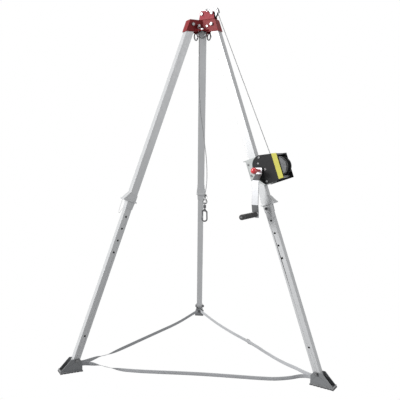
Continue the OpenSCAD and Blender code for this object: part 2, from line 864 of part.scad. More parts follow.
module rear_plate() {
    top_s = crank_s - 88;
    low_s = crank_s + 96;
    color("black")
        on_leg(right_az)
            difference() {
                sheet_y(rear_in, rear_a)
                    polygon([[wing_out + 6, -top_s - 10], [wing_out + 16, -top_s], [crank_b + 28, -top_s],
                        [drum_b + 42, -top_s - 26], [drum_b + 42, -low_s], [wing_out + 14, -low_s],
                        [wing_out + 6, -low_s + 10]]);
                for (place = tie_places)
                    at_leg(place)
                        bar_y(tie_r + run_gap, 0, rear_a + 1);
                at_leg([drum_b, drum_s])
                    bar_y(drum_shaft_d / 2 + run_gap, 0, rear_a + 1);
            }
}

module yellow_band() {
    band_w = 32;
    color("gold")
        on_leg(right_az)
            sheet_y(-front_a - 2, -front_a)
                polygon([[drum_b - 10, -crank_s + 76], [drum_b - 10 + band_w, -crank_s + 68],
                    [drum_b - 10 + band_w, -crank_s - 88], [drum_b - 10, -crank_s - 88]]);
}

// Tie bolts with spacers, clamp bolts, cross bars, drum shaft, idler pin and pawl pin
module winch_hardware() {
    bar_h = 10;
    bar_w = 26;
    color("silver")
        on_leg(right_az) {
            for (place = tie_places)
                at_leg(place) {
                    bar_y(tie_r, -front_a - eps, rear_a + 9);
                    bar_y(7, -front_a - 4, -front_a);
                    for (gap = [[-front_in, -wing_out], [wing_out, rear_in]])
                        difference() {
                            bar_y(7, gap[0], gap[1]);
                            bar_y(tie_r + run_gap, gap[0] - 1, gap[1] + 1);
                        }
                    difference() {
                        hex_y(7.5, rear_a, rear_a + 6.5);
                        bar_y(tie_r + run_gap, rear_a - 1, rear_a + 8);
                    }
                }
            for (place = clamp_places)
                at_leg(place)
                    mirror([0, 1, 0])
                        bolt_y(tie_r, -wing_out, wing_out);
            for (place = bar_places)
                at_leg(place)
                    translate([-bar_w / 2, -front_in, -bar_h / 2])
                        cube([bar_w, front_in + rear_in, bar_h]);
            at_leg([drum_b, drum_s]) {
                bar_y(drum_shaft_d / 2, -front_a, rear_a + eps);
                bar_y(drum_shaft_d / 2 + 4, rear_a, rear_a + 4);
            }
            at_leg(idler_place)
                bar_y(spindle_r, -front_a, -tube_half);
            at_leg(pawl_place) {
                bar_y(4, -front_a - eps, -ratchet_front + ratchet_t + 3);
                bar_y(6, -front_a - 2, -front_a);
            }
        }
}

module drum() {
    core_r = wind_r - rope_r - 0.3;
    color("silver")
        on_train()
            translate([drum_x, 0, 0])
                difference() {
                    union() {
                        gear_y(drum_z, -gear_front, -gear_back, drum_z % 2 == 0 ? 180 / drum_z : 0);
                        bar_y(core_r, -gear_back - eps, drum_back);
                        bar_y(drum_pitch_r + 3.5, -drum_front, drum_flange_t - drum_front);
                        bar_y(drum_pitch_r, drum_back - drum_flange_t, drum_back);
                    }
                    bar_y(drum_shaft_d / 2 + run_gap, -front_a, rear_a);
                }
}

// Outer layer of cable on the drum, leaving it along the straight cable
module wound_cable() {
    per_turn = 24;
    sides = 6;
    count = wind_turns * per_turn;
    exit_phi = atan2(side_s, -side_b);
    first_phi = exit_phi + 360 * wind_turns;
    turns = [for (i = [0 : count])
        let (phi = first_phi - 360 * i / per_turn)
        [drum_b + wind_r * cos(phi), wind_from - wind_pitch * i / per_turn, -drum_s + wind_r * sin(phi)]];
    lead = rope_d * [side_s, 0, side_b];
    route = concat([turns[0] - lead], turns, [turns[count] + lead]);
    rings = [for (i = [1 : count + 1])
        let (d = heading(route, i), u = unit(cross(d, [0, 1, 0])))
        ring_of(route[i], u, cross(d, u), sides, rope_r)];
    echo("least gap between turns", min([for (i = [0 : count - per_turn]) for (p = rings[i])
        for (q = rings[i + per_turn]) norm(p - q)]));
    color("lightgray")
        on_leg(right_az)
            tube(route, rope_r, sides, [0, 1, 0]);
}

module idler_gear() {
    color("silver")
        on_train()
            translate([idler_x, 0, 0])
                difference() {
                    union() {
                        gear_y(idler_z, -gear_front, -gear_back, 0);
                        bar_y(spindle_r + 3.5, -gear_back - eps, -wing_out - 0.5);
                    }
                    bar_y(spindle_r + run_gap, -front_a, 0);
                }
}

module crank_pinion() {
    color("dimgray")
        on_train() {
            gear_y(pinion_z, -gear_front - 1, -gear_back + 1, idler_z % 2 == 0 ? 180 / pinion_z : 0);
            bar_y(spindle_r, -spindle_end, -tube_half - 1);
        }
}

module ratchet_wheel() {
    step = 360 / ratchet_z;
    color("dimgray")
        on_train()
            difference() {
                sheet_y(-ratchet_front, ratchet_t - ratchet_front)
                    polygon([for (i = [0 : ratchet_z - 1]) for (k = [[0, 1], [0.9, 0.78]])
                        ratchet_r * k[1] * [cos(step * (i + k[0])), sin(step * (i + k[0]))]]);
                bar_y(spindle_r, -front_in, 0);
            }
}

// Pawl above the ratchet wheel, lifted just clear of the teeth
module pawl() {
    color("dimgray")
        on_leg(right_az)
            at_leg(pawl_place)
                difference() {
                    union() {
                        bar_y(7, -ratchet_front, ratchet_t - ratchet_front);
                        sheet_y(-ratchet_front, ratchet_t - ratchet_front)
                            polygon([[-5, 5], [5, 5], [7, 0], [-8, -19], [-14, -18], [-10, -8], [-7, 0]]);
                    }
                    bar_y(4 + run_gap, -front_in, 0);
                }
}

// Crank: hub beside the plate, joggle, flat, joggle back to the grip; it hangs plumb
module crank_arm() {
    hub_y = -front_a - 14;
    flat_y = hub_y - crank_joggle;
    end_y = flat_y + 10;
    flat_top = -58;
    flat_low = -crank_len + 60;
    end_top = -crank_len + 14;
    color("whitesmoke")
        on_leg(right_az)
            at_leg([crank_b, crank_s])
                rotate([0, leg_splay, 0])
                    difference() {
                        union() {
                            translate([-crank_w / 2, 0, 0])
                                rotate([90, 0, 90])
                                    linear_extrude(crank_w)
                                        polygon([[hub_y, 17], [hub_y, -22], [flat_y, flat_top], [flat_y,
                                            flat_low],
                                            [end_y, end_top], [end_y, -crank_len - 20],
                                            [end_y + crank_t, -crank_len - 20], [end_y + crank_t,
                                                end_top + 2],
                                            [flat_y + crank_t, flat_low + 2], [flat_y + crank_t,
                                                flat_top + 2],
                                            [hub_y + crank_t, -20], [hub_y + crank_t, 17]]);
                            bar_y(spindle_r + 7, hub_y + crank_t - eps, -front_a - 2.5);
                        }
                        bar_y(spindle_r, hub_y - 1, -front_a);
                        translate([0, 0, -crank_len])
                            bar_y(5 + run_gap, end_y - 1, end_y + crank_t + 1);
                    }
}

module crank_knob() {
    ball_y = -front_a - knob_reach;
    color("red")
        on_leg(right_az)
            at_leg([crank_b, crank_s])
                difference() {
                    union() {
                        translate([0, ball_y, 0])
                            sphere(r = knob_d / 2, $fn = 48);
                        bar_y(spindle_r + 3, ball_y, -front_a - 14);
                    }
                    bar_y(spindle_r, -spindle_end, -front_a);
                }
}

module crank_grip() {
    start_y = -front_a - 14 - crank_joggle + 10;
    core_r = 5;
    color("black")
        on_leg(right_az)
            at_leg([crank_b, crank_s])
                rotate([0, leg_splay, 0])
                    translate([0, 0, -crank_len]) {
                        translate([0, start_y - 0.5, 0])
                            rotate([90, 0, 0])
                                rotate_extrude($fn = 64)
                                    polygon(concat([[0, 0], [grip_d / 2 - 2, 0], [grip_d / 2, 3],
                                        [grip_d / 2, 14], [grip_d / 2 - 2, 22], [grip_d / 2 - 2,
                                            grip_len - 30],
                                        [grip_d / 2, grip_len - 16]],
                                        arc(grip_d / 2 - 6, grip_len - 6, 6, 0, 90, 6), [[0, grip_len]]));
                        bar_y(core_r, start_y - 1, start_y + crank_t + 1);
                        bar_y(core_r + 3, start_y + crank_t + 0.5, start_y + crank_t + 3);
                    }
}

// Cable

module cable_taut() {
    color("lightgray")
        on_leg(right_az)
            tube([[sheave_exit[0], 0, -sheave_exit[1]] - 0.3 * [side_s, 0, side_b],
                [drum_exit[0], wind_to, -drum_exit[1]] + (rope_d + 0.3) * [side_s, 0, side_b]],
                rope_r, 12, [0, 1, 0]);
}

module cable_top() {
    over = concat(arc(outer_sheave_r, axle_z, rope_run_r, exit_angle, 90, 6),
        arc(inner_sheave_r, axle_z, rope_run_r, 90, 180, 9));
    color("lightgray")
        rotate([0, 0, right_az])
            tube([for (q = over) [q[0], 0, q[1]]], rope_r, 12, [0, 1, 0]);
}

module cable_hanging() {
    color("lightgray")
        tube(hang_route, rope_r, 8, [0, 1, 0]);
}

// Eye of the cable: ferrule, rope loop and thimble
module cable_end() {
    reach = ferrule_top - 24 - thimble_z;
    open = acos(loop_r / reach);
    color("silver")
        translate([hook_x, hook_y, 0]) {
            translate([0, 0, ferrule_top - 24])
                cylinder(r = 5.5, h = 23.7);
            translate([0, 0, thimble_z]) {
                arc_y(90 + open, 450 - open)
                    translate([loop_r, 0])
                        circle(r = rope_r, $fn = 24);
                for (turn = [-1, 1])
                    rotate([0, -90 - turn * open, 0])
                        translate([loop_r, 0, 0])
                            rotate([0, turn > 0 ? 180 : 0, 0])
                                cylinder(r = rope_r, h = sqrt(reach * reach - loop_r * loop_r), $fn = 24);
                rotate([90, 0, 0])
                    rotate_extrude($fn = 64)
                        polygon([[loop_r - rope_r - 2, -4], [loop_r - 0.5, -4], [loop_r - rope_r - 0.3, -2.5],
                            [loop_r - rope_r - 0.3, 2.5], [loop_r - 0.5, 4], [loop_r - rope_r - 2, 4]]);
            }
        }
}

// Swivel eye that hangs in the thimble
module hook_eye() {
    eye_r_in = 9;
    wire = 3;
    barrel_r = 9;
    seat_gap = 1.9;
    ring_z = thimble_z - (loop_r - rope_r - 2) + wire + seat_gap - eye_r_in;
    color("silver")
        translate([hook_x, hook_y, 0])
            difference() {
                union() {
                    translate([0, 0, ring_z])
                        rotate([0, 90, 0])
                            rotate_extrude($fn = 64)
                                translate([eye_r_in, 0])
                                    circle(r = wire, $fn = 24);
                    translate([0, 0, swivel_z - 16])
                        cylinder(r = barrel_r, h = ring_z - eye_r_in + 1 - swivel_z + 16);
                }
                translate([0, 0, swivel_z - 17])
                    cylinder(r = 4 + run_gap, h = 8);
                translate([0, 0, swivel_z - 10])
                    cylinder(r = 6.5, h = 7);
            }
}

module hook_body() {
    bend_z = swivel_z - 90;
    color("silver")
        translate([hook_x, hook_y, 0]) {
            difference() {
                sheet_y(-6, 6)
                    polygon(concat([[-5, swivel_z - 20], [5, swivel_z - 20], [9, swivel_z - 28],
                        [19, swivel_z - 40], [21, bend_z]], arc(0, bend_z, 21, -10, -180, 16),
                        [[-21, bend_z + 9], [-17, bend_z + 14], [-12, bend_z + 9]],
                        arc(0, bend_z, 12, 180, 360, 12), [[10, swivel_z - 46], [3, swivel_z - 39],
                        [-9, swivel_z - 39], [-20, swivel_z - 42], [-20, swivel_z - 32], [-9,
                            swivel_z - 27]]));
                translate([-25, -4.3, swivel_z - 45])
                    cube([17, 8.6, 15]);
                translate([-14.5, 0, swivel_z - 36])
                    bar_y(2 + run_gap, -7, 7);
            }
            translate([0, 0, swivel_z - 21])
                cylinder(r = 4, h = 13);
            translate([0, 0, swivel_z - 9])
                cylinder(r = 6, h = 3);
        }
}

module hook_gate() {
    bend_z = swivel_z - 90;
    gate_z = swivel_z - 36;
    color("silver")
        translate([hook_x, hook_y, 0]) {
            sheet_y(-4, 4)
                polygon(concat(arc(-14.5, gate_z, 4.5, 0, 180, 8), [[-20, bend_z + 14.6], [-13,
                    bend_z + 14.6]]));
            translate([-14.5, 0, gate_z])
                bar_y(2, -6, 6);
        }
}

// Strap

// Place at a heel by its distance from the middle and from the foot's middle plane
function heel(az, r, a) =
    [r * cos(az) - a * sin(az), r * sin(az) + a * cos(az), strap_z, 90];
function from_heel(az, a) = [heel(az, heel_r + 14, a), heel(az, heel_r - 16, a)];
function to_heel(az, a) = [heel(az, heel_r - 16, a), heel(az, heel_r + 14, a)];

module strap_front() {
    color("white")
        webbing(concat(from_heel(left_az, slot_a), front_route, to_heel(right_az, -slot_a)));
}

module strap_left() {
    color("white")
        webbing(concat(from_heel(left_az, -slot_a), left_route, to_heel(rear_az, slot_a)));
}

module strap_right() {
    color("white")
        webbing(concat(from_heel(rear_az, -slot_a), right_route, to_heel(right_az, slot_a)));
}

// Ladder buckle on the rear to right run, with the run passing through it
module strap_buckle() {
    window_w = strap_w + 2;
    window_t = strap_t + 3;
    color("silver")
        translate([375, 200, 19])
            rotate([0, 0, -59.9])
                rotate([96, 0, 0])
                    difference() {
                        translate([-20, -window_w / 2 - 3.5, -window_t / 2 - 2])
                            cube([40, window_w + 7, window_t + 4]);
                        translate([-21, -window_w / 2, -window_t / 2])
                            cube([42, window_w, window_t]);
                    }
}

head_body();
head_bolts();
pulley_cheeks();
sheave(outer_sheave_r);  // sheave_outer
sheave(inner_sheave_r);  // sheave_inner
rope_keeper();
eye_bolts();
head_lanyards();
head_pin(left_az);  // head_pin_left
head_pin(right_az);  // head_pin_right
head_pin(rear_az);  // head_pin_rear
upper_tube(left_az);  // upper_tube_left
upper_tube(right_az);  // upper_tube_right
upper_tube(rear_az);  // upper_tube_rear
collar(left_az);  // collar_left
collar(right_az);  // collar_right
collar(rear_az);  // collar_rear
lower_tube(left_az);  // lower_tube_left
lower_tube(right_az);  // lower_tube_right
lower_tube(rear_az);  // lower_tube_rear
leg_pin(left_az);  // leg_pin_left
leg_pin(right_az);  // leg_pin_right
leg_pin(rear_az);  // leg_pin_rear
leg_lanyard(left_az);  // leg_lanyard_left
leg_lanyard(right_az);  // leg_lanyard_right
leg_lanyard(rear_az);  // leg_lanyard_rear
foot_bolt(left_az);  // foot_bolt_left
foot_bolt(right_az);  // foot_bolt_right
foot_bolt(rear_az);  // foot_bolt_rear
shoe(left_az);  // shoe_left
shoe(right_az);  // shoe_right
shoe(rear_az);  // shoe_rear
sole(left_az);  // sole_left
sole(right_az);  // sole_right
sole(rear_az);  // sole_rear
winch_bracket();
winch_hardware();
front_plate();
rear_plate();
yellow_band();
drum();
wound_cable();
idler_gear();
crank_pinion();
ratchet_wheel();
pawl();
crank_arm();
crank_knob();
crank_grip();
cable_taut();
cable_top();
cable_hanging();
cable_end();
hook_eye();
hook_body();
hook_gate();
strap_front();
strap_left();
strap_right();
strap_buckle();
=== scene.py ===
"""Rescue tripod: the looks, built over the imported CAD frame. Metres, the CAD's own frame."""

import logging
import math
from dataclasses import dataclass, field
from enum import Enum
from typing import Iterable, Optional, Sequence, Union

import bpy
from mathutils import Matrix, Vector


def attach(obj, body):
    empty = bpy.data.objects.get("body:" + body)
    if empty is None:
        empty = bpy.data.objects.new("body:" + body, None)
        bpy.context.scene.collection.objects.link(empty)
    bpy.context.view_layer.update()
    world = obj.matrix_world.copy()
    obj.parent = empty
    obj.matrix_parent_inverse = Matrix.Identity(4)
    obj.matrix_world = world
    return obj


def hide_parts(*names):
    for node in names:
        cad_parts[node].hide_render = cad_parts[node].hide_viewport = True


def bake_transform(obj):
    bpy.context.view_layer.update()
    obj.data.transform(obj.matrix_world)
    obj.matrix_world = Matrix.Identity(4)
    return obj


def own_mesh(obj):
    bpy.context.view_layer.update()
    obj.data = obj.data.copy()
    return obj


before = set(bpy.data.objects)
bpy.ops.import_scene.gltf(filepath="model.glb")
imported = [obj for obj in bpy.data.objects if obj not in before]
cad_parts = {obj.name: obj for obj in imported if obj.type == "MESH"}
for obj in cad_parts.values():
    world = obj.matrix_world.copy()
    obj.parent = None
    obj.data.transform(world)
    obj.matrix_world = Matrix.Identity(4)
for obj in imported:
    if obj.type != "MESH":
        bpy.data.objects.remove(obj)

log = logging.getLogger("tripod")

Point = tuple[float, float, float]
Pair = tuple[float, float]
Leant = tuple[float, float, float, float]
Value = Union[float, Sequence[float], bpy.types.NodeSocket]

# Sizes of the CAD that more than one sub-assembly needs
SPLAY = math.radians(20)
PIVOT_R = 0.087
FOOT_Z = 0.074
LEG_LEN = 2.285
PIVOT_Z = FOOT_Z + LEG_LEN * math.cos(SPLAY)
FOOT_R = PIVOT_R + LEG_LEN * math.sin(SPLAY)
HEEL_R = FOOT_R - 0.037
BUCKLE_AT = Vector((0.375, 0.200, 0.019))
HEAD_TOP = PIVOT_Z + 0.030
HEAD_LOW = PIVOT_Z - 0.046
AXLE_Z = HEAD_TOP + 0.044
ROPE_RUN = 0.030
ROPE_D = 0.005
TETHER_D = 0.002
TETHER_LAY = 0.009
SPINDLE = (0.044, 1.008)

# Numbers of the looks
CREASE = 32
WEAVE_RIBS = 14
WEAVE_ROWS = 400
# Painted shade between the webbing's ribs.
WEAVE_GAP_SHADE = (0.10, 0.10, 0.11)
# Painted shade where metal turns away from the eye.
RIM_SHADE_COLOUR = (0.012, 0.012, 0.013)
# Painted shade on the crank arm's bends.
BEND_SHADE_COLOUR = (0.115, 0.117, 0.12)


class Side(Enum):
    """The three legs and their directions round the head, in degrees."""

    LEFT = 210
    RIGHT = 330
    REAR = 90

    @property
    def label(self) -> str:
        """Returns the ending that this leg's CAD nodes carry."""
        return self.name.lower()

    @property
    def angle(self) -> float:
        """Returns the leg's direction in radians."""
        return math.radians(self.value)


class Pattern(Enum):
    """Small relief of a surface."""

    LINES = "lines"
    CAST = "cast"
    COAT = "coat"
    GRIT = "grit"
    WEAVE = "weave"

    @property
    def stretch(self) -> Point:
        """Returns the scale of the relief's space, small along the piece where lines are drawn out."""
        return (1.0, 1.0, 0.012) if self is Pattern.LINES else (1.0, 1.0, 1.0)


@dataclass(frozen=True)
class Finish:
    """One surface finish.

    Attributes:
        slot: material slot of the record that it belongs to.
        base: main colour.
        worn: colour where edges have rubbed through.
        metallic: metal share.
        rough: middle roughness.
        pattern: kind of small relief.
        scale: frequency of the relief, per metre.
        relief: depth of the relief, in metres.
        wear: how much of the edges is rubbed.
        dust: how much dust lies on upward faces, and how strong the painted shade in hollows is.
        coat: weight of the clear coat.
        spread: strength of the slow colour change.
        turn: rotation of the pattern's space, so that drawn lines follow a piece.
        gloss: strength of the mirror part of the finish.
        rim: strength of the painted shade where the surface turns away from the eye, standing in for dark
            reflections in metal.
        front: direction of a piece's flat faces, or zeros; faces turned from it, at the piece's bends, get painted
            shade.
    """

    slot: str
    base: Point
    worn: Point
    metallic: float
    rough: float
    pattern: Pattern
    scale: float
    relief: float
    wear: float = 0.25
    dust: float = 0.12
    coat: float = 0.0
    spread: float = 0.15
    turn: Point = (0.0, 0.0, 0.0)
    gloss: float = 0.4
    rim: float = 0.0
    front: Point = (0.0, 0.0, 0.0)


def leg_matrix(side: Side) -> Matrix:
    """Places a leg's frame: X outward, Y across, Z back up the leg.

    Args:
        side: the leg.

    Returns:
        The placement.
    """
    return (
        Matrix.Rotation(side.angle, 4, "Z")
        @ Matrix.Translation((PIVOT_R, 0, PIVOT_Z))
        @ Matrix.Rotation(-SPLAY, 4, "Y")
    )


def heel_point(side: Side, radius: float, across: float, height: float = 0.042) -> Vector:
    """Finds a point near a foot's heel.

    Args:
        side: the foot's leg.
        radius: distance from the middle of the tripod.
        across: offset from the foot's middle plane.
        height: height above the ground.

    Returns:
        The point.
    """
    return Matrix.Rotation(side.angle, 3, "Z") @ Vector((radius, across, height))


# Node tree helpers


class Tree:
    """Thin builder round a node tree."""

    def __init__(self, tree: bpy.types.NodeTree) -> None:
        """Keeps the tree that nodes are added to."""
        self.tree = tree

    def add(self, kind: str, values: Optional[dict[Union[int, str], Value]] = None, **props) -> bpy.types.Node:
        """Adds a node.

        Args:
            kind: the node's type name.
            values: socket name or index to a value or to an output socket.
            **props: node properties.

        Returns:
            The new node.
        """
        node = self.tree.nodes.new(kind)
        for key, value in props.items():
            setattr(node, key, value)
        for key, value in (values or {}).items():
            socket = node.inputs[key]
            if isinstance(value, bpy.types.NodeSocket):
                self.tree.links.new(value, socket)
            else:
                socket.default_value = value
        return node

    def math(self, operation: str, a: Value, b: Value = 0.0) -> bpy.types.NodeSocket:
        """Returns the output of a math node on two values or sockets."""
        return self.add("ShaderNodeMath", {0: a, 1: b}, operation=operation).outputs[0]

    def spread(self, value: Value, low: float, high: float, to_low: float = 0.0,
               to_high: float = 1.0) -> bpy.types.NodeSocket:
        """Returns value mapped from one range to another, clamped."""
        names = {"Value": value, "From Min": low, "From Max": high, "To Min": to_low, "To Max": to_high}
        return self.add("ShaderNodeMapRange", names).outputs["Result"]

    def mix(self, share: Value, a: Value, b: Value) -> bpy.types.NodeSocket:
        """Mixes two colours.

        Args:
            share: share of the second one.
            a: first colour.
            b: second colour.

        Returns:
            The socket with the mix.
        """
        node = self.tree.nodes.new("ShaderNodeMix")
        node.data_type = "RGBA"
        for index, value in ((0, share), (6, a), (7, b)):
            if isinstance(value, bpy.types.NodeSocket):
                self.tree.links.new(value, node.inputs[index])
            else:
                node.inputs[index].default_value = value
        return node.outputs[2]


def rgba(colour: Sequence[float]) -> tuple[float, float, float, float]:
    """Returns a colour with full alpha."""
    return (colour[0], colour[1], colour[2], 1.0)


def new_group(name: str, inputs: Sequence[tuple[str, str]],
              outputs: Sequence[tuple[str, str]]) -> tuple[Tree, bpy.types.Node, bpy.types.Node]:
    """Makes a shader node group.

    Args:
        name: name of the group.
        inputs: pairs of socket name and type.
        outputs: pairs of socket name and type.

    Returns:
        The tree builder, the group input node and the group output node.
    """
    tree = bpy.data.node_groups.new(name, "ShaderNodeTree")
    for label, kind in inputs:
        tree.interface.new_socket(name=label, in_out="INPUT", socket_type=kind)
    for label, kind in outputs:
        tree.interface.new_socket(name=label, in_out="OUTPUT", socket_type=kind)
    build = Tree(tree)
    return build, build.add("NodeGroupInput"), build.add("NodeGroupOutput")


def surface_group() -> bpy.types.NodeTree:
    """Builds the group that turns a base colour into a used surface, with painted shade in its hollows.

    Returns:
        A group with the outputs Colour, Roughness and Height.
    """
    col, val, vec = "NodeSocketColor", "NodeSocketFloat", "NodeSocketVector"
    build, src, out = new_group(
        "used_surface",
        (("Base", col), ("Worn", col), ("Place", vec), ("Stretch", vec), ("Scale", val), ("Rough", val),
         ("Wear", val), ("Dust", val), ("Spread", val)),
        (("Colour", col), ("Roughness", val), ("Height", val)),
    )
    place, scale = src.outputs["Place"], src.outputs["Scale"]
    drawn = build.add(
        "ShaderNodeVectorMath", {0: place, 1: src.outputs["Stretch"]}, operation="MULTIPLY"
    ).outputs[0]
    fine = build.add("ShaderNodeTexNoise", {"Vector": drawn, "Scale": scale, "Detail": 3.0}).outputs[0]
    slow = build.add("ShaderNodeTexNoise", {"Vector": place, "Scale": 9.0, "Detail": 4.0}).outputs[0]
    patch = build.add("ShaderNodeTexNoise", {"Vector": place, "Scale": 70.0, "Detail": 5.0}).outputs[0]
    scratch = build.add(
        "ShaderNodeTexNoise", {"Vector": drawn, "Scale": build.math("MULTIPLY", scale, 0.31), "Detail": 6.0}
    ).outputs[0]
    geometry = build.add("ShaderNodeNewGeometry")
    soft = build.add("ShaderNodeBevel", {"Radius": 0.0016}, samples=6).outputs[0]
    turn = build.add("ShaderNodeVectorMath", {0: soft, 1: geometry.outputs["Normal"]}, operation="DOT_PRODUCT")
    edge = build.spread(turn.outputs["Value"], 0.985, 0.90)
    rubbed = build.math("MULTIPLY", edge, build.spread(patch, 0.42, 0.62))
    rubbed = build.math("MULTIPLY", rubbed, src.outputs["Wear"])
    faint = build.math("MULTIPLY", src.outputs["Wear"], 0.4)
    lines = build.math("MULTIPLY", build.spread(scratch, 0.72, 0.80), faint)
    rubbed = build.math("MAXIMUM", rubbed, lines)
    upward = build.add("ShaderNodeSeparateXYZ", {0: geometry.outputs["Normal"]}).outputs["Z"]
    dusty = build.math("MULTIPLY", build.spread(upward, 0.3, 1.0), build.spread(slow, 0.35, 0.7))
    dusty = build.math("MULTIPLY", dusty, src.outputs["Dust"])
    # Painted shade: ambient occlusion darkens hollows towards near black, as strong as the dust setting.
    closed = build.add("ShaderNodeAmbientOcclusion", {"Distance": 0.012}, samples=4).outputs["AO"]
    hollow_shade = build.math("MULTIPLY", build.spread(closed, 0.75, 0.25), src.outputs["Dust"])
    shade = build.math("MULTIPLY", build.spread(slow, 0.3, 0.7), src.outputs["Spread"])
    darker = build.mix(0.5, src.outputs["Base"], (0.02, 0.02, 0.02, 1.0))
    colour = build.mix(shade, src.outputs["Base"], darker)
    colour = build.mix(build.math("MULTIPLY", hollow_shade, 1.6), colour, (0.03, 0.028, 0.025, 1.0))
    colour = build.mix(rubbed, colour, src.outputs["Worn"])
    colour = build.mix(dusty, colour, (0.56, 0.54, 0.50, 1.0))
    rough = build.math("ADD", src.outputs["Rough"], build.spread(fine, 0.3, 0.7, -0.07, 0.07))
    rough = build.math("ADD", rough, build.math("MULTIPLY", dusty, 0.6))
    rough = build.math("ADD", rough, build.spread(patch, 0.4, 0.7, -0.03, 0.05))
    height = build.math("ADD", fine, build.math("MULTIPLY", patch, 0.25))
    for name, value in (("Colour", colour), ("Roughness", rough), ("Height", height)):
        build.tree.links.new(value, out.inputs[name])
    return build.tree


def weave_group() -> bpy.types.NodeTree:
    """Builds the group for woven webbing, laid out on a UV map in ribs across and rows along.

    Returns:
        A group with the outputs Height and Shade.
    """
    build, src, out = new_group(
        "webbing_weave", (("Map", "NodeSocketVector"),),
        (("Height", "NodeSocketFloat"), ("Shade", "NodeSocketFloat")),
    )
    parts = build.add("ShaderNodeSeparateXYZ", {0: src.outputs["Map"]})
    along, across = parts.outputs["X"], parts.outputs["Y"]
    ribs = build.math("SINE", build.math("MULTIPLY", across, 2 * math.pi * WEAVE_RIBS))
    weft = build.math("MULTIPLY", along, 2 * math.pi * WEAVE_ROWS)
    slant = build.math("ADD", weft, build.math("MULTIPLY", ribs, 1.4))
    rows = build.math("SINE", slant)
    height = build.math("ADD", build.math("MULTIPLY", ribs, 0.5), build.math("MULTIPLY", rows, 0.5))
    shade = build.spread(build.math("MULTIPLY", ribs, rows), -1.0, 1.0, 0.80, 1.0)
    build.tree.links.new(height, out.inputs["Height"])
    build.tree.links.new(shade, out.inputs["Shade"])
    return build.tree


def crease_group() -> bpy.types.NodeTree:
    """Builds the geometry group that keeps edges sharp above an angle.

    Returns:
        The group.
    """
    tree = bpy.data.node_groups.new("crease_by_angle", "GeometryNodeTree")
    tree.interface.new_socket(name="Geometry", in_out="INPUT", socket_type="NodeSocketGeometry")
    tree.interface.new_socket(name="Geometry", in_out="OUTPUT", socket_type="NodeSocketGeometry")
    build = Tree(tree)
    src, out = build.add("NodeGroupInput"), build.add("NodeGroupOutput")
    angle = build.add("GeometryNodeInputMeshEdgeAngle").outputs["Unsigned Angle"]
    sharp = build.add(
        "FunctionNodeCompare", {0: angle, 1: math.radians(CREASE)}, operation="GREATER_THAN"
    ).outputs[0]
    faces = build.add(
        "GeometryNodeSetShadeSmooth", {"Geometry": src.outputs[0], "Shade Smooth": True}, domain="FACE"
    )
    edges = build.add(
        "GeometryNodeSetShadeSmooth",
        {"Geometry": faces.outputs[0], "Selection": sharp, "Shade Smooth": False},
        domain="EDGE",
    )
    build.tree.links.new(edges.outputs[0], out.inputs[0])
    return build.tree


RED = Finish(
    "red_paint", (0.19, 0.006, 0.009), (0.45, 0.20, 0.20), 0.0, 0.46, Pattern.COAT, 520, 0.00018,
    wear=0.45, dust=0.05, gloss=0.14,
)
# The head's red paint made lighter and pinker: painted light on the pulley cheeks, where they catch the lamps.
LIT_CHEEK_RED = Finish(
    "red_paint", (0.27, 0.016, 0.028), (0.45, 0.20, 0.20), 0.0, 0.48, Pattern.COAT, 520, 0.00018,
    wear=0.45, dust=0.05, gloss=0.14,
)
ZINC = Finish(
    "zinc_steel", (0.15, 0.152, 0.155), (0.60, 0.60, 0.60), 0.75, 0.34, Pattern.CAST, 900, 0.00008,
    wear=0.3, dust=0.15, rim=0.8,
)
TURNED = Finish(
    "turned_steel", (0.11, 0.112, 0.115), (0.50, 0.50, 0.50), 0.70, 0.30, Pattern.CAST, 1400, 0.00006,
    wear=0.3, dust=0.12, rim=0.8,
)
BRIGHT = Finish(
    "bright_steel", (0.13, 0.13, 0.135), (0.60, 0.60, 0.60), 0.85, 0.20, Pattern.CAST, 600, 0.00005,
    wear=0.2, dust=0.10, rim=0.7,
)
CORD = Finish(
    "tether_cord", (0.11, 0.11, 0.12), (0.30, 0.30, 0.31), 0.1, 0.60, Pattern.GRIT, 2500, 0.00010,
    wear=0.2, dust=0.10,
)
PIN = Finish(
    "pin_steel", (0.16, 0.163, 0.166), (0.80, 0.80, 0.80), 0.95, 0.28, Pattern.CAST, 1000, 0.00006,
    wear=0.3, dust=0.10, rim=0.8,
)
DARK_PIN = Finish(
    "dark_pin", (0.050, 0.050, 0.055), (0.45, 0.45, 0.45), 0.3, 0.42, Pattern.COAT, 900, 0.00010,
    wear=0.6, dust=0.15,
)
CASTING = Finish(
    "cast_aluminium", (0.47, 0.475, 0.48), (0.70, 0.70, 0.70), 0.30, 0.50, Pattern.CAST, 1100, 0.00022,
    wear=0.4, dust=0.10,
)
SHOE = Finish(
    "shoe_steel", (0.165, 0.17, 0.175), (0.50, 0.50, 0.50), 0.20, 0.46, Pattern.COAT, 700, 0.00020,
    wear=0.7, dust=0.20,
)
SOLE = Finish(
    "sole_rubber", (0.022, 0.022, 0.024), (0.09, 0.09, 0.09), 0.0, 0.74, Pattern.GRIT, 1500, 0.00030,
    wear=0.4, dust=0.35,
)
GREY = Finish(
    "grey_paint", (0.36, 0.375, 0.37), (0.55, 0.55, 0.55), 0.15, 0.45, Pattern.COAT, 620, 0.00018,
    wear=0.5, dust=0.12, coat=0.15,
)
BLACK = Finish(
    "black_paint", (0.008, 0.008, 0.009), (0.22, 0.22, 0.23), 0.0, 0.50, Pattern.COAT, 640, 0.00020,
    wear=0.4, dust=0.03, gloss=0.18,
)
BAND = Finish(
    "yellow_band", (0.50, 0.47, 0.055), (0.40, 0.36, 0.10), 0.0, 0.42, Pattern.COAT, 420, 0.00010,
    wear=0.5, dust=0.10, coat=0.2,
)
ROPE = Finish(
    "wire_rope", (0.24, 0.245, 0.25), (0.45, 0.45, 0.45), 0.60, 0.40, Pattern.GRIT, 3500, 0.00008,
    wear=0.5, dust=0.10,
)
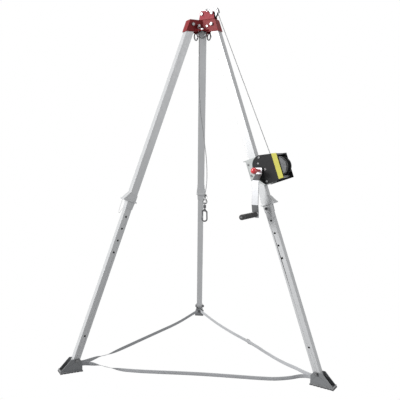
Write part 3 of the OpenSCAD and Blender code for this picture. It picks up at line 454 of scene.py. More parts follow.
GEAR = Finish(
    "gear_steel", (0.20, 0.20, 0.21), (0.55, 0.55, 0.55), 0.8, 0.36, Pattern.CAST, 900, 0.00010,
    wear=0.7, dust=0.10,
)
# Its front sets the painted shade on the crank arm's bends.
CRANK = Finish(
    "crank_paint", (0.70, 0.705, 0.72), (0.40, 0.40, 0.40), 0.35, 0.38, Pattern.COAT, 640, 0.00015,
    wear=0.4, dust=0.10, coat=0.2, front=(-0.5, -0.866, 0.0),
)
KNOB = Finish(
    "red_knob", (0.55, 0.012, 0.020), (0.70, 0.20, 0.20), 0.0, 0.22, Pattern.COAT, 300, 0.00005,
    wear=0.2, dust=0.06, coat=0.6,
)
GRIP = Finish(
    "grip_rubber", (0.018, 0.018, 0.019), (0.08, 0.08, 0.08), 0.0, 0.62, Pattern.GRIT, 1700, 0.00020,
    wear=0.4, dust=0.20,
)
WEB = Finish(
    "webbing", (0.43, 0.435, 0.445), (0.80, 0.80, 0.80), 0.0, 0.82, Pattern.WEAVE, 1800, 0.00030,
    wear=0.1, dust=0.10,
)
THREAD = Finish(
    "webbing", (0.36, 0.37, 0.39), (0.60, 0.60, 0.60), 0.0, 0.70, Pattern.GRIT, 3000, 0.00010,
    wear=0.1, dust=0.10,
)


def tube_finish(side: Side) -> Finish:
    """Makes the drawn aluminium of one leg, its lines running along that leg.

    Args:
        side: the leg.

    Returns:
        The finish.
    """
    turn = (leg_matrix(side).to_3x3().inverted()).to_euler("XYZ")
    return Finish(
        "tube_aluminium", (0.46, 0.465, 0.47), (0.70, 0.70, 0.70), 0.30, 0.42, Pattern.LINES, 900, 0.00010,
        wear=0.35, dust=0.05, spread=0.10, turn=(turn.x, turn.y, turn.z),
    )


class Paintbox:
    """Makes each finish's material once."""

    def __init__(self) -> None:
        """Builds the node groups that the materials share."""
        self.surface = surface_group()
        self.weave = weave_group()
        self.crease = crease_group()
        self.made: dict[Finish, bpy.types.Material] = {}

    def get(self, finish: Finish) -> bpy.types.Material:
        """Finds a finish's material, made the first time that it is asked for.

        Args:
            finish: the finish.

        Returns:
            The material.
        """
        if finish not in self.made:
            self.made[finish] = self._build(finish)
        return self.made[finish]

    def _build(self, finish: Finish) -> bpy.types.Material:
        """Makes a finish's material.

        Args:
            finish: the finish.

        Returns:
            The material.
        """
        material = bpy.data.materials.new(f"{finish.slot}_{len(self.made):02d}")
        material.use_nodes = True
        material.diffuse_color = rgba(finish.base)
        build = Tree(material.node_tree)
        shader = material.node_tree.nodes["Principled BSDF"]
        coords = build.add("ShaderNodeTexCoord")
        place = build.add("ShaderNodeMapping", {"Vector": coords.outputs["Object"], "Rotation": finish.turn})
        used = build.add("ShaderNodeGroup", node_tree=self.surface)
        build.tree.links.new(place.outputs[0], used.inputs["Place"])
        for name, value in (
            ("Base", rgba(finish.base)), ("Worn", rgba(finish.worn)), ("Stretch", finish.pattern.stretch),
            ("Scale", finish.scale), ("Rough", finish.rough), ("Wear", finish.wear), ("Dust", finish.dust),
            ("Spread", finish.spread),
        ):
            used.inputs[name].default_value = value
        colour, height = used.outputs["Colour"], used.outputs["Height"]
        if finish.pattern is Pattern.WEAVE:
            woven = build.add("ShaderNodeGroup", node_tree=self.weave)
            build.tree.links.new(coords.outputs["UV"], woven.inputs["Map"])
            height = build.math("ADD", woven.outputs["Height"], build.math("MULTIPLY", height, 0.3))
            # Painted shade in the gaps between the weave's ribs and rows.
            shade = build.math("SUBTRACT", 1.0, woven.outputs["Shade"])
            colour = build.mix(shade, colour, rgba(WEAVE_GAP_SHADE))
            shader.inputs["Sheen Weight"].default_value = 0.25
        # Painted shade: the surface darkens where it turns away from the eye, standing in for dark reflections.
        if finish.rim:
            turned = build.add("ShaderNodeLayerWeight", {"Blend": 0.5}).outputs["Facing"]
            turned = build.math("MULTIPLY", build.spread(turned, 0.2, 0.8), finish.rim)
            colour = build.mix(turned, colour, rgba(RIM_SHADE_COLOUR))
        # Painted shade on faces turned from the flat faces' direction, that is on the bends.
        if any(finish.front):
            true = build.add("ShaderNodeNewGeometry").outputs["True Normal"]
            own = build.add(
                "ShaderNodeVectorTransform", {0: true},
                vector_type="NORMAL", convert_from="WORLD", convert_to="OBJECT",
            ).outputs[0]
            level = build.add("ShaderNodeVectorMath", {0: own, 1: finish.front}, operation="DOT_PRODUCT")
            bend_shade = build.spread(build.math("ABSOLUTE", level.outputs["Value"]), 0.995, 0.985)
            colour = build.mix(bend_shade, colour, rgba(BEND_SHADE_COLOUR))
        bump = build.add("ShaderNodeBump", {"Height": height, "Strength": 0.6, "Distance": finish.relief})
        links = build.tree.links
        links.new(colour, shader.inputs["Base Color"])
        links.new(used.outputs["Roughness"], shader.inputs["Roughness"])
        links.new(bump.outputs[0], shader.inputs["Normal"])
        shader.inputs["Metallic"].default_value = finish.metallic
        shader.inputs["Coat Weight"].default_value = finish.coat
        shader.inputs["Coat Roughness"].default_value = 0.18
        shader.inputs["Specular IOR Level"].default_value = finish.gloss
        return material


# Mesh helpers


def link(obj: bpy.types.Object) -> bpy.types.Object:
    """Puts an object into the scene and returns it."""
    bpy.context.scene.collection.objects.link(obj)
    return obj


def mesh_object(name: str, verts: Sequence[Sequence[float]], faces: Sequence[Sequence[int]],
                edges: Sequence[Sequence[int]] = (), smooth: float = 35.0) -> bpy.types.Object:
    """Makes a mesh object with its edges sharp above an angle.

    Args:
        name: name of the object.
        verts: its points.
        faces: its faces.
        edges: its loose edges.
        smooth: angle in degrees above which an edge stays sharp.

    Returns:
        The linked object.
    """
    mesh = bpy.data.meshes.new(name)
    mesh.from_pydata([tuple(v) for v in verts], list(edges), list(faces))
    mesh.update()
    if faces:
        mesh.shade_smooth()
        mesh.set_sharp_from_angle(angle=math.radians(smooth))
    return link(bpy.data.objects.new(name, mesh))


def lathe(name: str, profile: Sequence[Pair], place: Matrix, steps: int = 40) -> bpy.types.Object:
    """Turns a closed profile round Z and puts it in place.

    Args:
        name: name of the object.
        profile: pairs of radius and height, counter-clockwise seen with the radius to the right.
        place: where the lathe's frame goes.
        steps: number of facets round the axis.

    Returns:
        The object.
    """
    count = len(profile)
    verts = []
    for i in range(steps):
        a = 2 * math.pi * i / steps
        verts += [place @ Vector((r * math.cos(a), r * math.sin(a), z)) for r, z in profile]
    faces = []
    for i in range(steps):
        j = (i + 1) % steps
        for k in range(count):
            m = (k + 1) % count
            faces.append((i * count + k, j * count + k, j * count + m, i * count + m))
    return mesh_object(name, verts, faces)


def block(size: Point, place: Matrix, name: str = "block") -> bpy.types.Object:
    """Makes a small box, for use as a repeated piece.

    Args:
        size: its three lengths.
        place: where its middle goes.
        name: name of the object.

    Returns:
        The object.
    """
    x, y, z = (s / 2 for s in size)
    verts = [place @ Vector((i * x, j * y, k * z)) for i in (-1, 1) for j in (-1, 1) for k in (-1, 1)]
    faces = [(0, 1, 3, 2), (4, 6, 7, 5), (0, 4, 5, 1), (2, 3, 7, 6), (0, 2, 6, 4), (1, 5, 7, 3)]
    return mesh_object(name, verts, faces)


def bead(length: float, radius: float, name: str = "bead") -> bpy.types.Object:
    """Makes a small pill along X, for use as a repeated stitch or weld ripple.

    Args:
        length: its length.
        radius: its radius.
        name: name of the object.

    Returns:
        The object.
    """
    verts, faces, rings, sides = [], [], 6, 8
    for i in range(rings + 1):
        a = math.pi * i / rings
        for k in range(sides):
            b = 2 * math.pi * k / sides
            r = radius * max(math.sin(a), 0.02)
            verts.append((-length / 2 * math.cos(a), r * math.cos(b), r * math.sin(b)))
    for i in range(rings):
        for k in range(sides):
            m = (k + 1) % sides
            faces.append((i * sides + k, i * sides + m, (i + 1) * sides + m, (i + 1) * sides + k))
    faces.append(tuple(range(sides - 1, -1, -1)))
    faces.append(tuple(rings * sides + k for k in range(sides)))
    return mesh_object(name, verts, faces)


class Smith:
    """Geometry node work: repeated pieces and stranded rope, both baked to plain meshes."""

    def __init__(self) -> None:
        """Builds the two trees."""
        self.repeat = self._repeat_tree()
        self.rope = self._rope_tree()

    @staticmethod
    def _new(name: str, sockets: Sequence[tuple[str, str]]) -> tuple[Tree, bpy.types.Node, bpy.types.Node]:
        """Makes an empty geometry tree.

        Args:
            name: name of the tree.
            sockets: pairs of input name and type, after the geometry.

        Returns:
            The tree builder, the group input node and the group output node.
        """
        tree = bpy.data.node_groups.new(name, "GeometryNodeTree")
        tree.interface.new_socket(name="Geometry", in_out="INPUT", socket_type="NodeSocketGeometry")
        for label, kind in sockets:
            tree.interface.new_socket(name=label, in_out="INPUT", socket_type=kind)
        tree.interface.new_socket(name="Geometry", in_out="OUTPUT", socket_type="NodeSocketGeometry")
        build = Tree(tree)
        return build, build.add("NodeGroupInput"), build.add("NodeGroupOutput")

    def _repeat_tree(self) -> bpy.types.NodeTree:
        """Builds the tree that puts a turned copy of a piece at each point.

        Returns:
            The tree.
        """
        build, src, out = self._new(
            "repeat_at_points", (("Piece", "NodeSocketObject"), ("Material", "NodeSocketMaterial"))
        )
        piece = build.add("GeometryNodeObjectInfo", {"Object": src.outputs["Piece"]})
        turn = build.add("GeometryNodeInputNamedAttribute", {"Name": "turn"}, data_type="FLOAT_VECTOR")
        euler = build.add("FunctionNodeEulerToRotation", {0: turn.outputs["Attribute"]})
        placed = build.add(
            "GeometryNodeInstanceOnPoints",
            {
                "Points": src.outputs["Geometry"], "Instance": piece.outputs["Geometry"],
                "Rotation": euler.outputs[0],
            },
        )
        real = build.add("GeometryNodeRealizeInstances", {0: placed.outputs[0]})
        named = build.add(
            "GeometryNodeSetMaterial", {"Geometry": real.outputs[0], "Material": src.outputs["Material"]}
        )
        build.tree.links.new(named.outputs[0], out.inputs[0])
        return build.tree

    def _rope_tree(self) -> bpy.types.NodeTree:
        """Builds the tree that sweeps a ring of strands along a line while it turns.

        Returns:
            The tree.
        """
        build, src, out = self._new(
            "stranded_rope",
            (("Radius", "NodeSocketFloat"), ("Turns", "NodeSocketFloat"), ("Rings", "NodeSocketInt"),
             ("Strands", "NodeSocketInt"), ("Material", "NodeSocketMaterial")),
        )
        line = build.add("GeometryNodeMeshToCurve", {0: src.outputs["Geometry"]})
        even = build.add(
            "GeometryNodeResampleCurve", {"Curve": line.outputs[0], "Count": src.outputs["Rings"]}
        )
        share = build.add("GeometryNodeSplineParameter").outputs["Factor"]
        angle = build.math("MULTIPLY", build.math("MULTIPLY", share, src.outputs["Turns"]), 2 * math.pi)
        tilted = build.add("GeometryNodeSetCurveTilt", {"Curve": even.outputs[0], "Tilt": angle})
        middle = build.math("MULTIPLY", src.outputs["Radius"], 2 / 3)
        strand = build.math("MULTIPLY", src.outputs["Radius"], 1 / 3)
        ring = build.add("GeometryNodeMeshCircle", {"Vertices": src.outputs["Strands"], "Radius": middle})
        wire = build.add("GeometryNodeCurvePrimitiveCircle", {"Resolution": 6, "Radius": strand})
        placed = build.add(
            "GeometryNodeInstanceOnPoints", {"Points": ring.outputs[0], "Instance": wire.outputs[0]}
        )
        profile = build.add("GeometryNodeRealizeInstances", {0: placed.outputs[0]})
        skin = build.add(
            "GeometryNodeCurveToMesh",
            {"Curve": tilted.outputs[0], "Profile Curve": profile.outputs[0], "Fill Caps": True},
        )
        named = build.add(
            "GeometryNodeSetMaterial", {"Geometry": skin.outputs[0], "Material": src.outputs["Material"]}
        )
        build.tree.links.new(named.outputs[0], out.inputs[0])
        return build.tree

    @staticmethod
    def _bake(obj: bpy.types.Object, tree: bpy.types.NodeTree, values: dict, name: str) -> bpy.types.Object:
        """Turns an object with a geometry tree into a plain mesh.

        Args:
            obj: the tree's input, removed afterwards.
            tree: the tree.
            values: input name to value.
            name: name of the result.

        Returns:
            The plain object.
        """
        modifier = obj.modifiers.new("nodes", "NODES")
        modifier.node_group = tree
        for item in tree.interface.items_tree:
            if item.item_type == "SOCKET" and item.in_out == "INPUT" and item.name in values:
                modifier[item.identifier] = values[item.name]
        obj.update_tag()
        bpy.context.view_layer.update()
        graph = bpy.context.evaluated_depsgraph_get()
        mesh = bpy.data.meshes.new_from_object(obj.evaluated_get(graph))
        mesh.name = name
        bpy.data.objects.remove(obj)
        mesh.shade_smooth()
        mesh.set_sharp_from_angle(angle=math.radians(50))
        return link(bpy.data.objects.new(name, mesh))

    def scatter(self, name: str, piece: bpy.types.Object, places: Iterable[Matrix],
                material: bpy.types.Material) -> bpy.types.Object:
        """Repeats a piece at given places as one mesh.

        Args:
            name: name of the result.
            piece: object at the origin, removed afterwards.
            places: a placement for each copy.
            material: material of the result.

        Returns:
            The baked object.
        """
        places = list(places)
        base = mesh_object(name + "_points", [m.translation for m in places], [])
        turn = base.data.attributes.new("turn", "FLOAT_VECTOR", "POINT")
        for i, place in enumerate(places):
            turn.data[i].vector = place.to_euler("XYZ")
        made = self._bake(base, self.repeat, {"Piece": piece, "Material": material}, name)
        bpy.data.objects.remove(piece)
        return made

    def strand(self, name: str, route: Sequence[Vector], diameter: float, material: bpy.types.Material,
               lay: float = 0.036, strands: int = 6) -> bpy.types.Object:
        """Lays a stranded rope along a route.

        Args:
            name: name of the result.
            route: dense points of the centreline.
            diameter: outer diameter of the rope.
            material: material of the result.
            lay: length in which the strands go round once.
            strands: number of strands.

        Returns:
            The baked object.
        """
        length = route_length(route)
        edges = [(i, i + 1) for i in range(len(route) - 1)]
        base = mesh_object(name + "_line", route, [], edges)
        values = {
            "Radius": diameter / 2, "Turns": length / lay, "Rings": max(12, int(length / (lay / 12))),
            "Strands": strands, "Material": material,
        }
        return self._bake(base, self.rope, values, name)


def route_length(route: Sequence[Vector]) -> float:
    """Returns the length of a line of points."""
    return sum((b - a).length for a, b in zip(route, route[1:]))


def smooth_route(points: Sequence[Sequence[float]], step: float) -> list[list[float]]:
    """Draws a curve through points, even where they lie at uneven distances.

    Args:
        points: control points of any dimension, the first three being the place.
        step: rough distance between the returned points.

    Returns:
        The curve's points, of the same dimension.
    """
    knots = [list(p) for p in points]
    size = len(knots[0])
    knots = [[2 * a - b for a, b in zip(knots[0], knots[1])]] + knots
    knots.append([2 * a - b for a, b in zip(knots[-1], knots[-2])])
    dense = []
    for i in range(1, len(knots) - 2):
        p0, p1, p2, p3 = knots[i - 1 : i + 3]
        chords = [max(1e-6, math.dist(a[:3], b[:3])) ** 0.5 for a, b in ((p0, p1), (p1, p2), (p2, p3))]
        count = max(2, int(math.dist(p1[:3], p2[:3]) / step))
        for k in range(count):
            t = k / count
            value = []
            for d in range(size):
                spans = zip((p0, p1, p2), (p1, p2, p3), chords)
                first, second, third = [(b[d] - a[d]) / chord for a, b, chord in spans]
                m1 = first - (p2[d] - p0[d]) / (chords[0] + chords[1]) + second
                m2 = second - (p3[d] - p1[d]) / (chords[1] + chords[2]) + third
                m1, m2 = m1 * chords[1], m2 * chords[1]
                a = 2 * (p1[d] - p2[d]) + m1 + m2
                b = -3 * (p1[d] - p2[d]) - 2 * m1 - m2
                value.append(((a * t + b) * t + m1) * t + p1[d])
            dense.append(value)
    dense.append(knots[-2])
    return dense


def dress(node: str, finish: Finish, paint: Paintbox, bevel: float = 0.0005) -> None:
    """Gives a CAD node its material and rounds its edges for the eye.

    Args:
        node: name of the CAD node.
        finish: its finish.
        paint: the materials.
        bevel: width of the rounded edges, none at 0.
    """
    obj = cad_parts[node]
    mesh = obj.data
    mesh.materials.clear()
    mesh.materials.append(paint.get(finish))
    if "custom_normal" in mesh.attributes:
        mesh.attributes.remove(mesh.attributes["custom_normal"])
    mesh.shade_smooth()
    mesh.set_sharp_from_angle(angle=math.radians(CREASE))
    if bevel:
        weld = obj.modifiers.new("weld", "WELD")
        weld.merge_threshold = 0.000004
        crease = obj.modifiers.new("crease", "NODES")
        crease.node_group = paint.crease
        edge = obj.modifiers.new("edge", "BEVEL")
        edge.width = bevel
        edge.segments = 2
        edge.limit_method = "ANGLE"
        edge.angle_limit = math.radians(38)
        edge.harden_normals = True
        edge.use_clamp_overlap = True
    log.info("dressed %s as %s", node, finish.slot)


def dress_all(coats: Sequence[tuple[str, Finish, float]], paint: Paintbox) -> None:
    """Dresses CAD nodes one after the other.

    Args:
        coats: node, finish and width of its rounded edges, for each of them.
        paint: the materials.
    """
    for node, finish, bevel in coats:
        dress(node, finish, paint, bevel)


@dataclass
class Shop:
    """What every sub-assembly needs."""

    paint: Paintbox = field(default_factory=Paintbox)
    smith: Smith = field(default_factory=Smith)

    def finish(self, obj: bpy.types.Object, finish: Finish, body: Optional[str]) -> bpy.types.Object:
        """Gives a made piece its material, slot and body.

        Args:
            obj: the piece.
            finish: its finish.
            body: CAD body that it rides on, or none.

        Returns:
            The piece.
        """
        obj.data.materials.clear()
        obj.data.materials.append(self.paint.get(finish))
        if body:
            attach(obj, body)
        log.info("made %s of %s", obj.name, finish.slot)
        return obj


@dataclass
class Head:
    """Welded head, twin pulley, eye bolts, lock pins and their tethers.

    Attributes:
        shop: materials and node work.
        coats: finish and edge of each CAD node but the lock pins.
        eyes: directions of the eye bolts, in degrees.
        eye_r: distance of the eye bolts from the middle.
        thread_low: height of the lowest turn of thread over the head's underside.
        thread_pitch: distance between the turns of thread.
        corners: directions of the three welded corners, in degrees.
        corner_r: distance of those corners from the middle.
        seam_low: height at which their seams start, over the head's underside.
        seam_pitch: distance between the ripples of those seams.
        cheek_half: distance of a cheek's seam from the pulley's middle plane.
        cheek_start: where the cheeks' seams start, along the pulley.
        cheek_pitch: distance between the ripples of those seams.
        cheek_rise: height of those seams over the head's top.
        tether: route of a lock pin's tether in its leg's frame, in millimetres.
    """

    shop: Shop
    coats: Sequence[tuple[str, Finish, float]] = (
        ("head_body", RED, 0.0009), ("head_bolts", ZINC, 0.0005), ("pulley_cheeks", LIT_CHEEK_RED, 0.0007),
        ("sheave_outer", TURNED, 0.0004), ("sheave_inner", TURNED, 0.0004), ("rope_keeper", BRIGHT, 0.0004),
        ("eye_bolts", BRIGHT, 0.0004),
    )
    eyes: Sequence[int] = (270, 30, 150)
    eye_r: float = 0.050
    thread_low: float = 0.0216
    thread_pitch: float = 0.0008
    corners: Sequence[int] = (30, 150, 270)
    corner_r: float = 0.0352
    seam_low: float = 0.014
    seam_pitch: float = 0.0021
    cheek_half: float = 0.0208
    cheek_start: float = -0.012
    cheek_pitch: float = 0.0024
    cheek_rise: float = 0.0045
    tether: Sequence[Point] = (
        (-42, 54, -19.2), (-44, 52, -34), (-47, 46, -50), (-51, 38, -60), (-54, 31, -58), (-55.4, 28, -44),
        (-55.4, 28, -30),
    )

    def build(self) -> None:
        """Dresses the CAD nodes and adds welds, threads and tethers."""
        dress_all(self.coats, self.shop.paint)
        for side in Side:
            dress(f"head_pin_{side.label}", PIN, self.shop.paint, 0.0004)
        self._welds()
        self._threads()
        self._tethers()

    def _welds(self) -> None:
        """Makes the rippled seams at the head's corners and under the cheeks."""
        places = []
        upright = Matrix.Rotation(math.radians(90), 4, "Y")
        for angle in self.corners:
            a = math.radians(angle)
            corner = Vector((self.corner_r * math.cos(a), self.corner_r * math.sin(a), HEAD_LOW + self.seam_low))
            for i in range(30):
                places.append(Matrix.Translation(corner + Vector((0, 0, i * self.seam_pitch))) @ upright)
        along = Matrix.Rotation(Side.RIGHT.angle, 4, "Z")
        for sign in (-1, 1):
            for i in range(46):
                x = self.cheek_start + i * self.cheek_pitch
                spot = Vector((x, sign * self.cheek_half, HEAD_TOP + self.cheek_rise))
                places.append(along @ Matrix.Translation(spot))
        made = self.shop.smith.scatter("head_welds", bead(0.0042, 0.0021), places, self.shop.paint.get(RED))
        self.shop.finish(made, RED, "head")

    def _threads(self) -> None:
        """Makes the turns of thread that show under the nuts of the eye bolts."""
        ring = lathe("thread_turn", [(0.0046, -0.0004), (0.00535, 0.0), (0.0046, 0.0004)], Matrix.Identity(4), 24)
        places = []
        for angle in self.eyes:
            a = math.radians(angle)
            for i in range(4):
                high = HEAD_LOW + self.thread_low + i * self.thread_pitch
                places.append(Matrix.Translation((self.eye_r * math.cos(a), self.eye_r * math.sin(a), high)))
        made = self.shop.smith.scatter("eye_bolt_threads", ring, places, self.shop.paint.get(BRIGHT))
        self.shop.finish(made, BRIGHT, "head")

    def _tethers(self) -> None:
        """Makes the tethers from the head to its lock pins."""
        for side in Side:
            place = leg_matrix(side)
            route = [place @ (Vector(p[:3]) / 1000) for p in smooth_route(self.tether, 3)]
            made = self.shop.smith.strand(
                f"head_tether_{side.label}", route, TETHER_D, self.shop.paint.get(CORD), TETHER_LAY, 3
            )
            self.shop.finish(made, CORD, None)
            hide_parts("head_lanyards")
            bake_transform(made)


@dataclass
class Leg:
    """Telescopic leg with its casting, lock pin, tether and swivelling foot.

    Attributes:
        shop: materials and node work.
        side: which leg it is.
        pin: place of the lock pin's knob in the leg's frame.
        knob_r: radius of that knob.
        ridges: number of ridges round it.
        tether: route of the pin's tether in the leg's frame, in millimetres.
        seam_start: where the shoe's seams start, from the foot's middle.
        seam_pitch: distance between the ripples of those seams.
        seam_half: distance of a seam from the foot's middle plane.
        seam_rise: height of the seams over the ground.
    """

    shop: Shop
    side: Side
    pin: Point = (0, -0.0435, -1.244)
    knob_r: float = 0.008
    ridges: int = 30
    tether: Sequence[Point] = (
        (0, -47.2, -1245), (6, -50.8, -1260), (18, -43.8, -1288), (30, -37.8, -1314), (38, -31.8, -1308),
        (42, -27.8, -1280), (44, -25.8, -1231), (44, -25.8, -1223.4),
    )
    seam_start: float = -0.034
    seam_pitch: float = 0.0026
    seam_half: float = 0.0275
    seam_rise: float = 0.0106

    def build(self) -> None:
        """Dresses the CAD nodes and adds the knurl, the tether and the shoe's seams."""
        tube, end = tube_finish(self.side), self.side.label
        dress_all(
            (
                (f"upper_tube_{end}", tube, 0.0010), (f"lower_tube_{end}", tube, 0.0008),
                (f"collar_{end}", CASTING, 0.0012), (f"leg_pin_{end}", DARK_PIN, 0.0004),
                (f"foot_bolt_{end}", ZINC, 0.0005), (f"shoe_{end}", SHOE, 0.0007), (f"sole_{end}", SOLE, 0.0006),
            ),
            self.shop.paint,
        )
        self._knurl()
        self._tether()
        self._welds()

    def _knurl(self) -> None:
        """Makes the ridges round the lock pin's knob."""
        middle = leg_matrix(self.side) @ Matrix.Translation(self.pin)
        places = []
        for i in range(self.ridges):
            turn = Matrix.Rotation(2 * math.pi * i / self.ridges, 4, "Y")
            places.append(middle @ turn @ Matrix.Translation((0, 0, self.knob_r)))
        ridge = block((0.0009, 0.0034, 0.0008), Matrix.Identity(4), "ridge")
        end = self.side.label
        made = self.shop.smith.scatter(f"leg_pin_knurl_{end}", ridge, places, self.shop.paint.get(DARK_PIN))
        self.shop.finish(made, DARK_PIN, f"leg_pin_{end}")

    def _tether(self) -> None:
        """Makes the tether from the casting to its lock pin."""
        end, place = self.side.label, leg_matrix(self.side)
        route = [place @ (Vector(p[:3]) / 1000) for p in smooth_route(self.tether, 3)]
        made = self.shop.smith.strand(
            f"leg_tether_{end}", route, TETHER_D, self.shop.paint.get(CORD), TETHER_LAY, 3
        )
        self.shop.finish(made, CORD, None)
        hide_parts(f"leg_lanyard_{end}")
        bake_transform(made)

    def _welds(self) -> None:
        """Makes the rippled seams along the shoe's two cheeks."""
        base = Matrix.Rotation(self.side.angle, 4, "Z") @ Matrix.Translation((FOOT_R, 0, 0))
        places = []
        for sign in (-1, 1):
            for i in range(52):
                spot = (self.seam_start + i * self.seam_pitch, sign * self.seam_half, self.seam_rise)
                places.append(base @ Matrix.Translation(spot))
        end = self.side.label
        ripple = bead(0.0044, 0.0016)
        made = self.shop.smith.scatter(f"shoe_welds_{end}", ripple, places, self.shop.paint.get(SHOE))
        self.shop.finish(made, SHOE, f"foot_{end}")


@dataclass
class Winch:
    """Crank winch on the right leg.

    Attributes:
        shop: materials and node work.
        coats: finish and edge of each CAD node but the grip.
        grip_drop: distance of the grip's axis under the spindle.
        grip_start: where the grip starts, from the leg's middle plane.
        butt: outline of the grip's thick near end, as radius and length.
        tip: outline of its far end.
        bolt: outline of the bolt in it, with its washer and head.
        ribs: number of ribs between the ends.
        first_rib: where the first rib starts.
        rib_pitch: distance between the ribs.
        rib_low: radius between the ribs.
        rib_high: radius on a rib.
        swells: number of times that the grip swells along its length.
        swell: how much it swells.
    """

    shop: Shop
    coats: Sequence[tuple[str, Finish, float]] = (
        ("winch_bracket", GREY, 0.0007), ("winch_hardware", ZINC, 0.0005), ("front_plate", BLACK, 0.0008),
        ("rear_plate", BLACK, 0.0008), ("yellow_band", BAND, 0.0004), ("drum", TURNED, 0.0004),
        ("idler_gear", GEAR, 0.0003), ("crank_pinion", GEAR, 0.0003), ("ratchet_wheel", GEAR, 0.0003),
        ("pawl", GEAR, 0.0003), ("crank_arm", CRANK, 0.0009), ("crank_knob", KNOB, 0.0),
    )
    grip_drop: float = 0.270
    grip_start: float = -0.1105
    butt: Sequence[Pair] = (
        (0.0052, 0.0), (0.0150, 0.0), (0.0168, 0.0012), (0.0170, 0.0120), (0.0160, 0.0165), (0.0149, 0.0190),
    )
    tip: Sequence[Pair] = (
        (0.0150, 0.1560), (0.0166, 0.1600), (0.0170, 0.1740), (0.0160, 0.1810), (0.0120, 0.1845),
        (0.0052, 0.1850),
    )
    bolt: Sequence[Pair] = (
        (0.0002, -0.0105), (0.0048, -0.0105), (0.0050, -0.0092), (0.0078, -0.0090), (0.0078, -0.0062),
        (0.0050, -0.0060), (0.0050, 0.1852), (0.0002, 0.1852),
    )
    ribs: int = 22
    first_rib: float = 0.0210
    rib_pitch: float = 0.0060
    rib_low: float = 0.0149
    rib_high: float = 0.0158
    swells: int = 4
    swell: float = 0.0010

    def build(self) -> None:
        """Dresses the CAD nodes and makes the ribbed grip."""
        dress_all(self.coats, self.shop.paint)
        self._grip()

    def _grip(self) -> None:
        """Makes the rubber sleeve and the bolt that it turns on."""
        quarter = Matrix.Rotation(math.radians(90), 4, "X")
        upright = Matrix.Translation((SPINDLE[0], 0, -SPINDLE[1])) @ Matrix.Rotation(SPLAY, 4, "Y")
        start = Matrix.Translation((0, self.grip_start, -self.grip_drop))
        place = leg_matrix(Side.RIGHT) @ upright @ start @ quarter
        profile = list(self.butt)
        for i in range(self.ribs):
            z = self.first_rib + i * self.rib_pitch
            more = self.swell * math.sin(math.pi * (i + 0.5) / self.ribs * self.swells) ** 2
            low, high = self.rib_low + more, self.rib_high + more
            profile += [(low, z), (high, z + 0.0012), (high, z + 0.0036), (low, z + 0.0048)]
        profile += self.tip
        sleeve = lathe("grip_sleeve", profile, place, 48)
        self.shop.finish(sleeve, GRIP, "grip")
        core = lathe("grip_bolt", self.bolt, place, 32)
        self.shop.finish(core, ZINC, "grip")
        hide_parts("crank_grip")


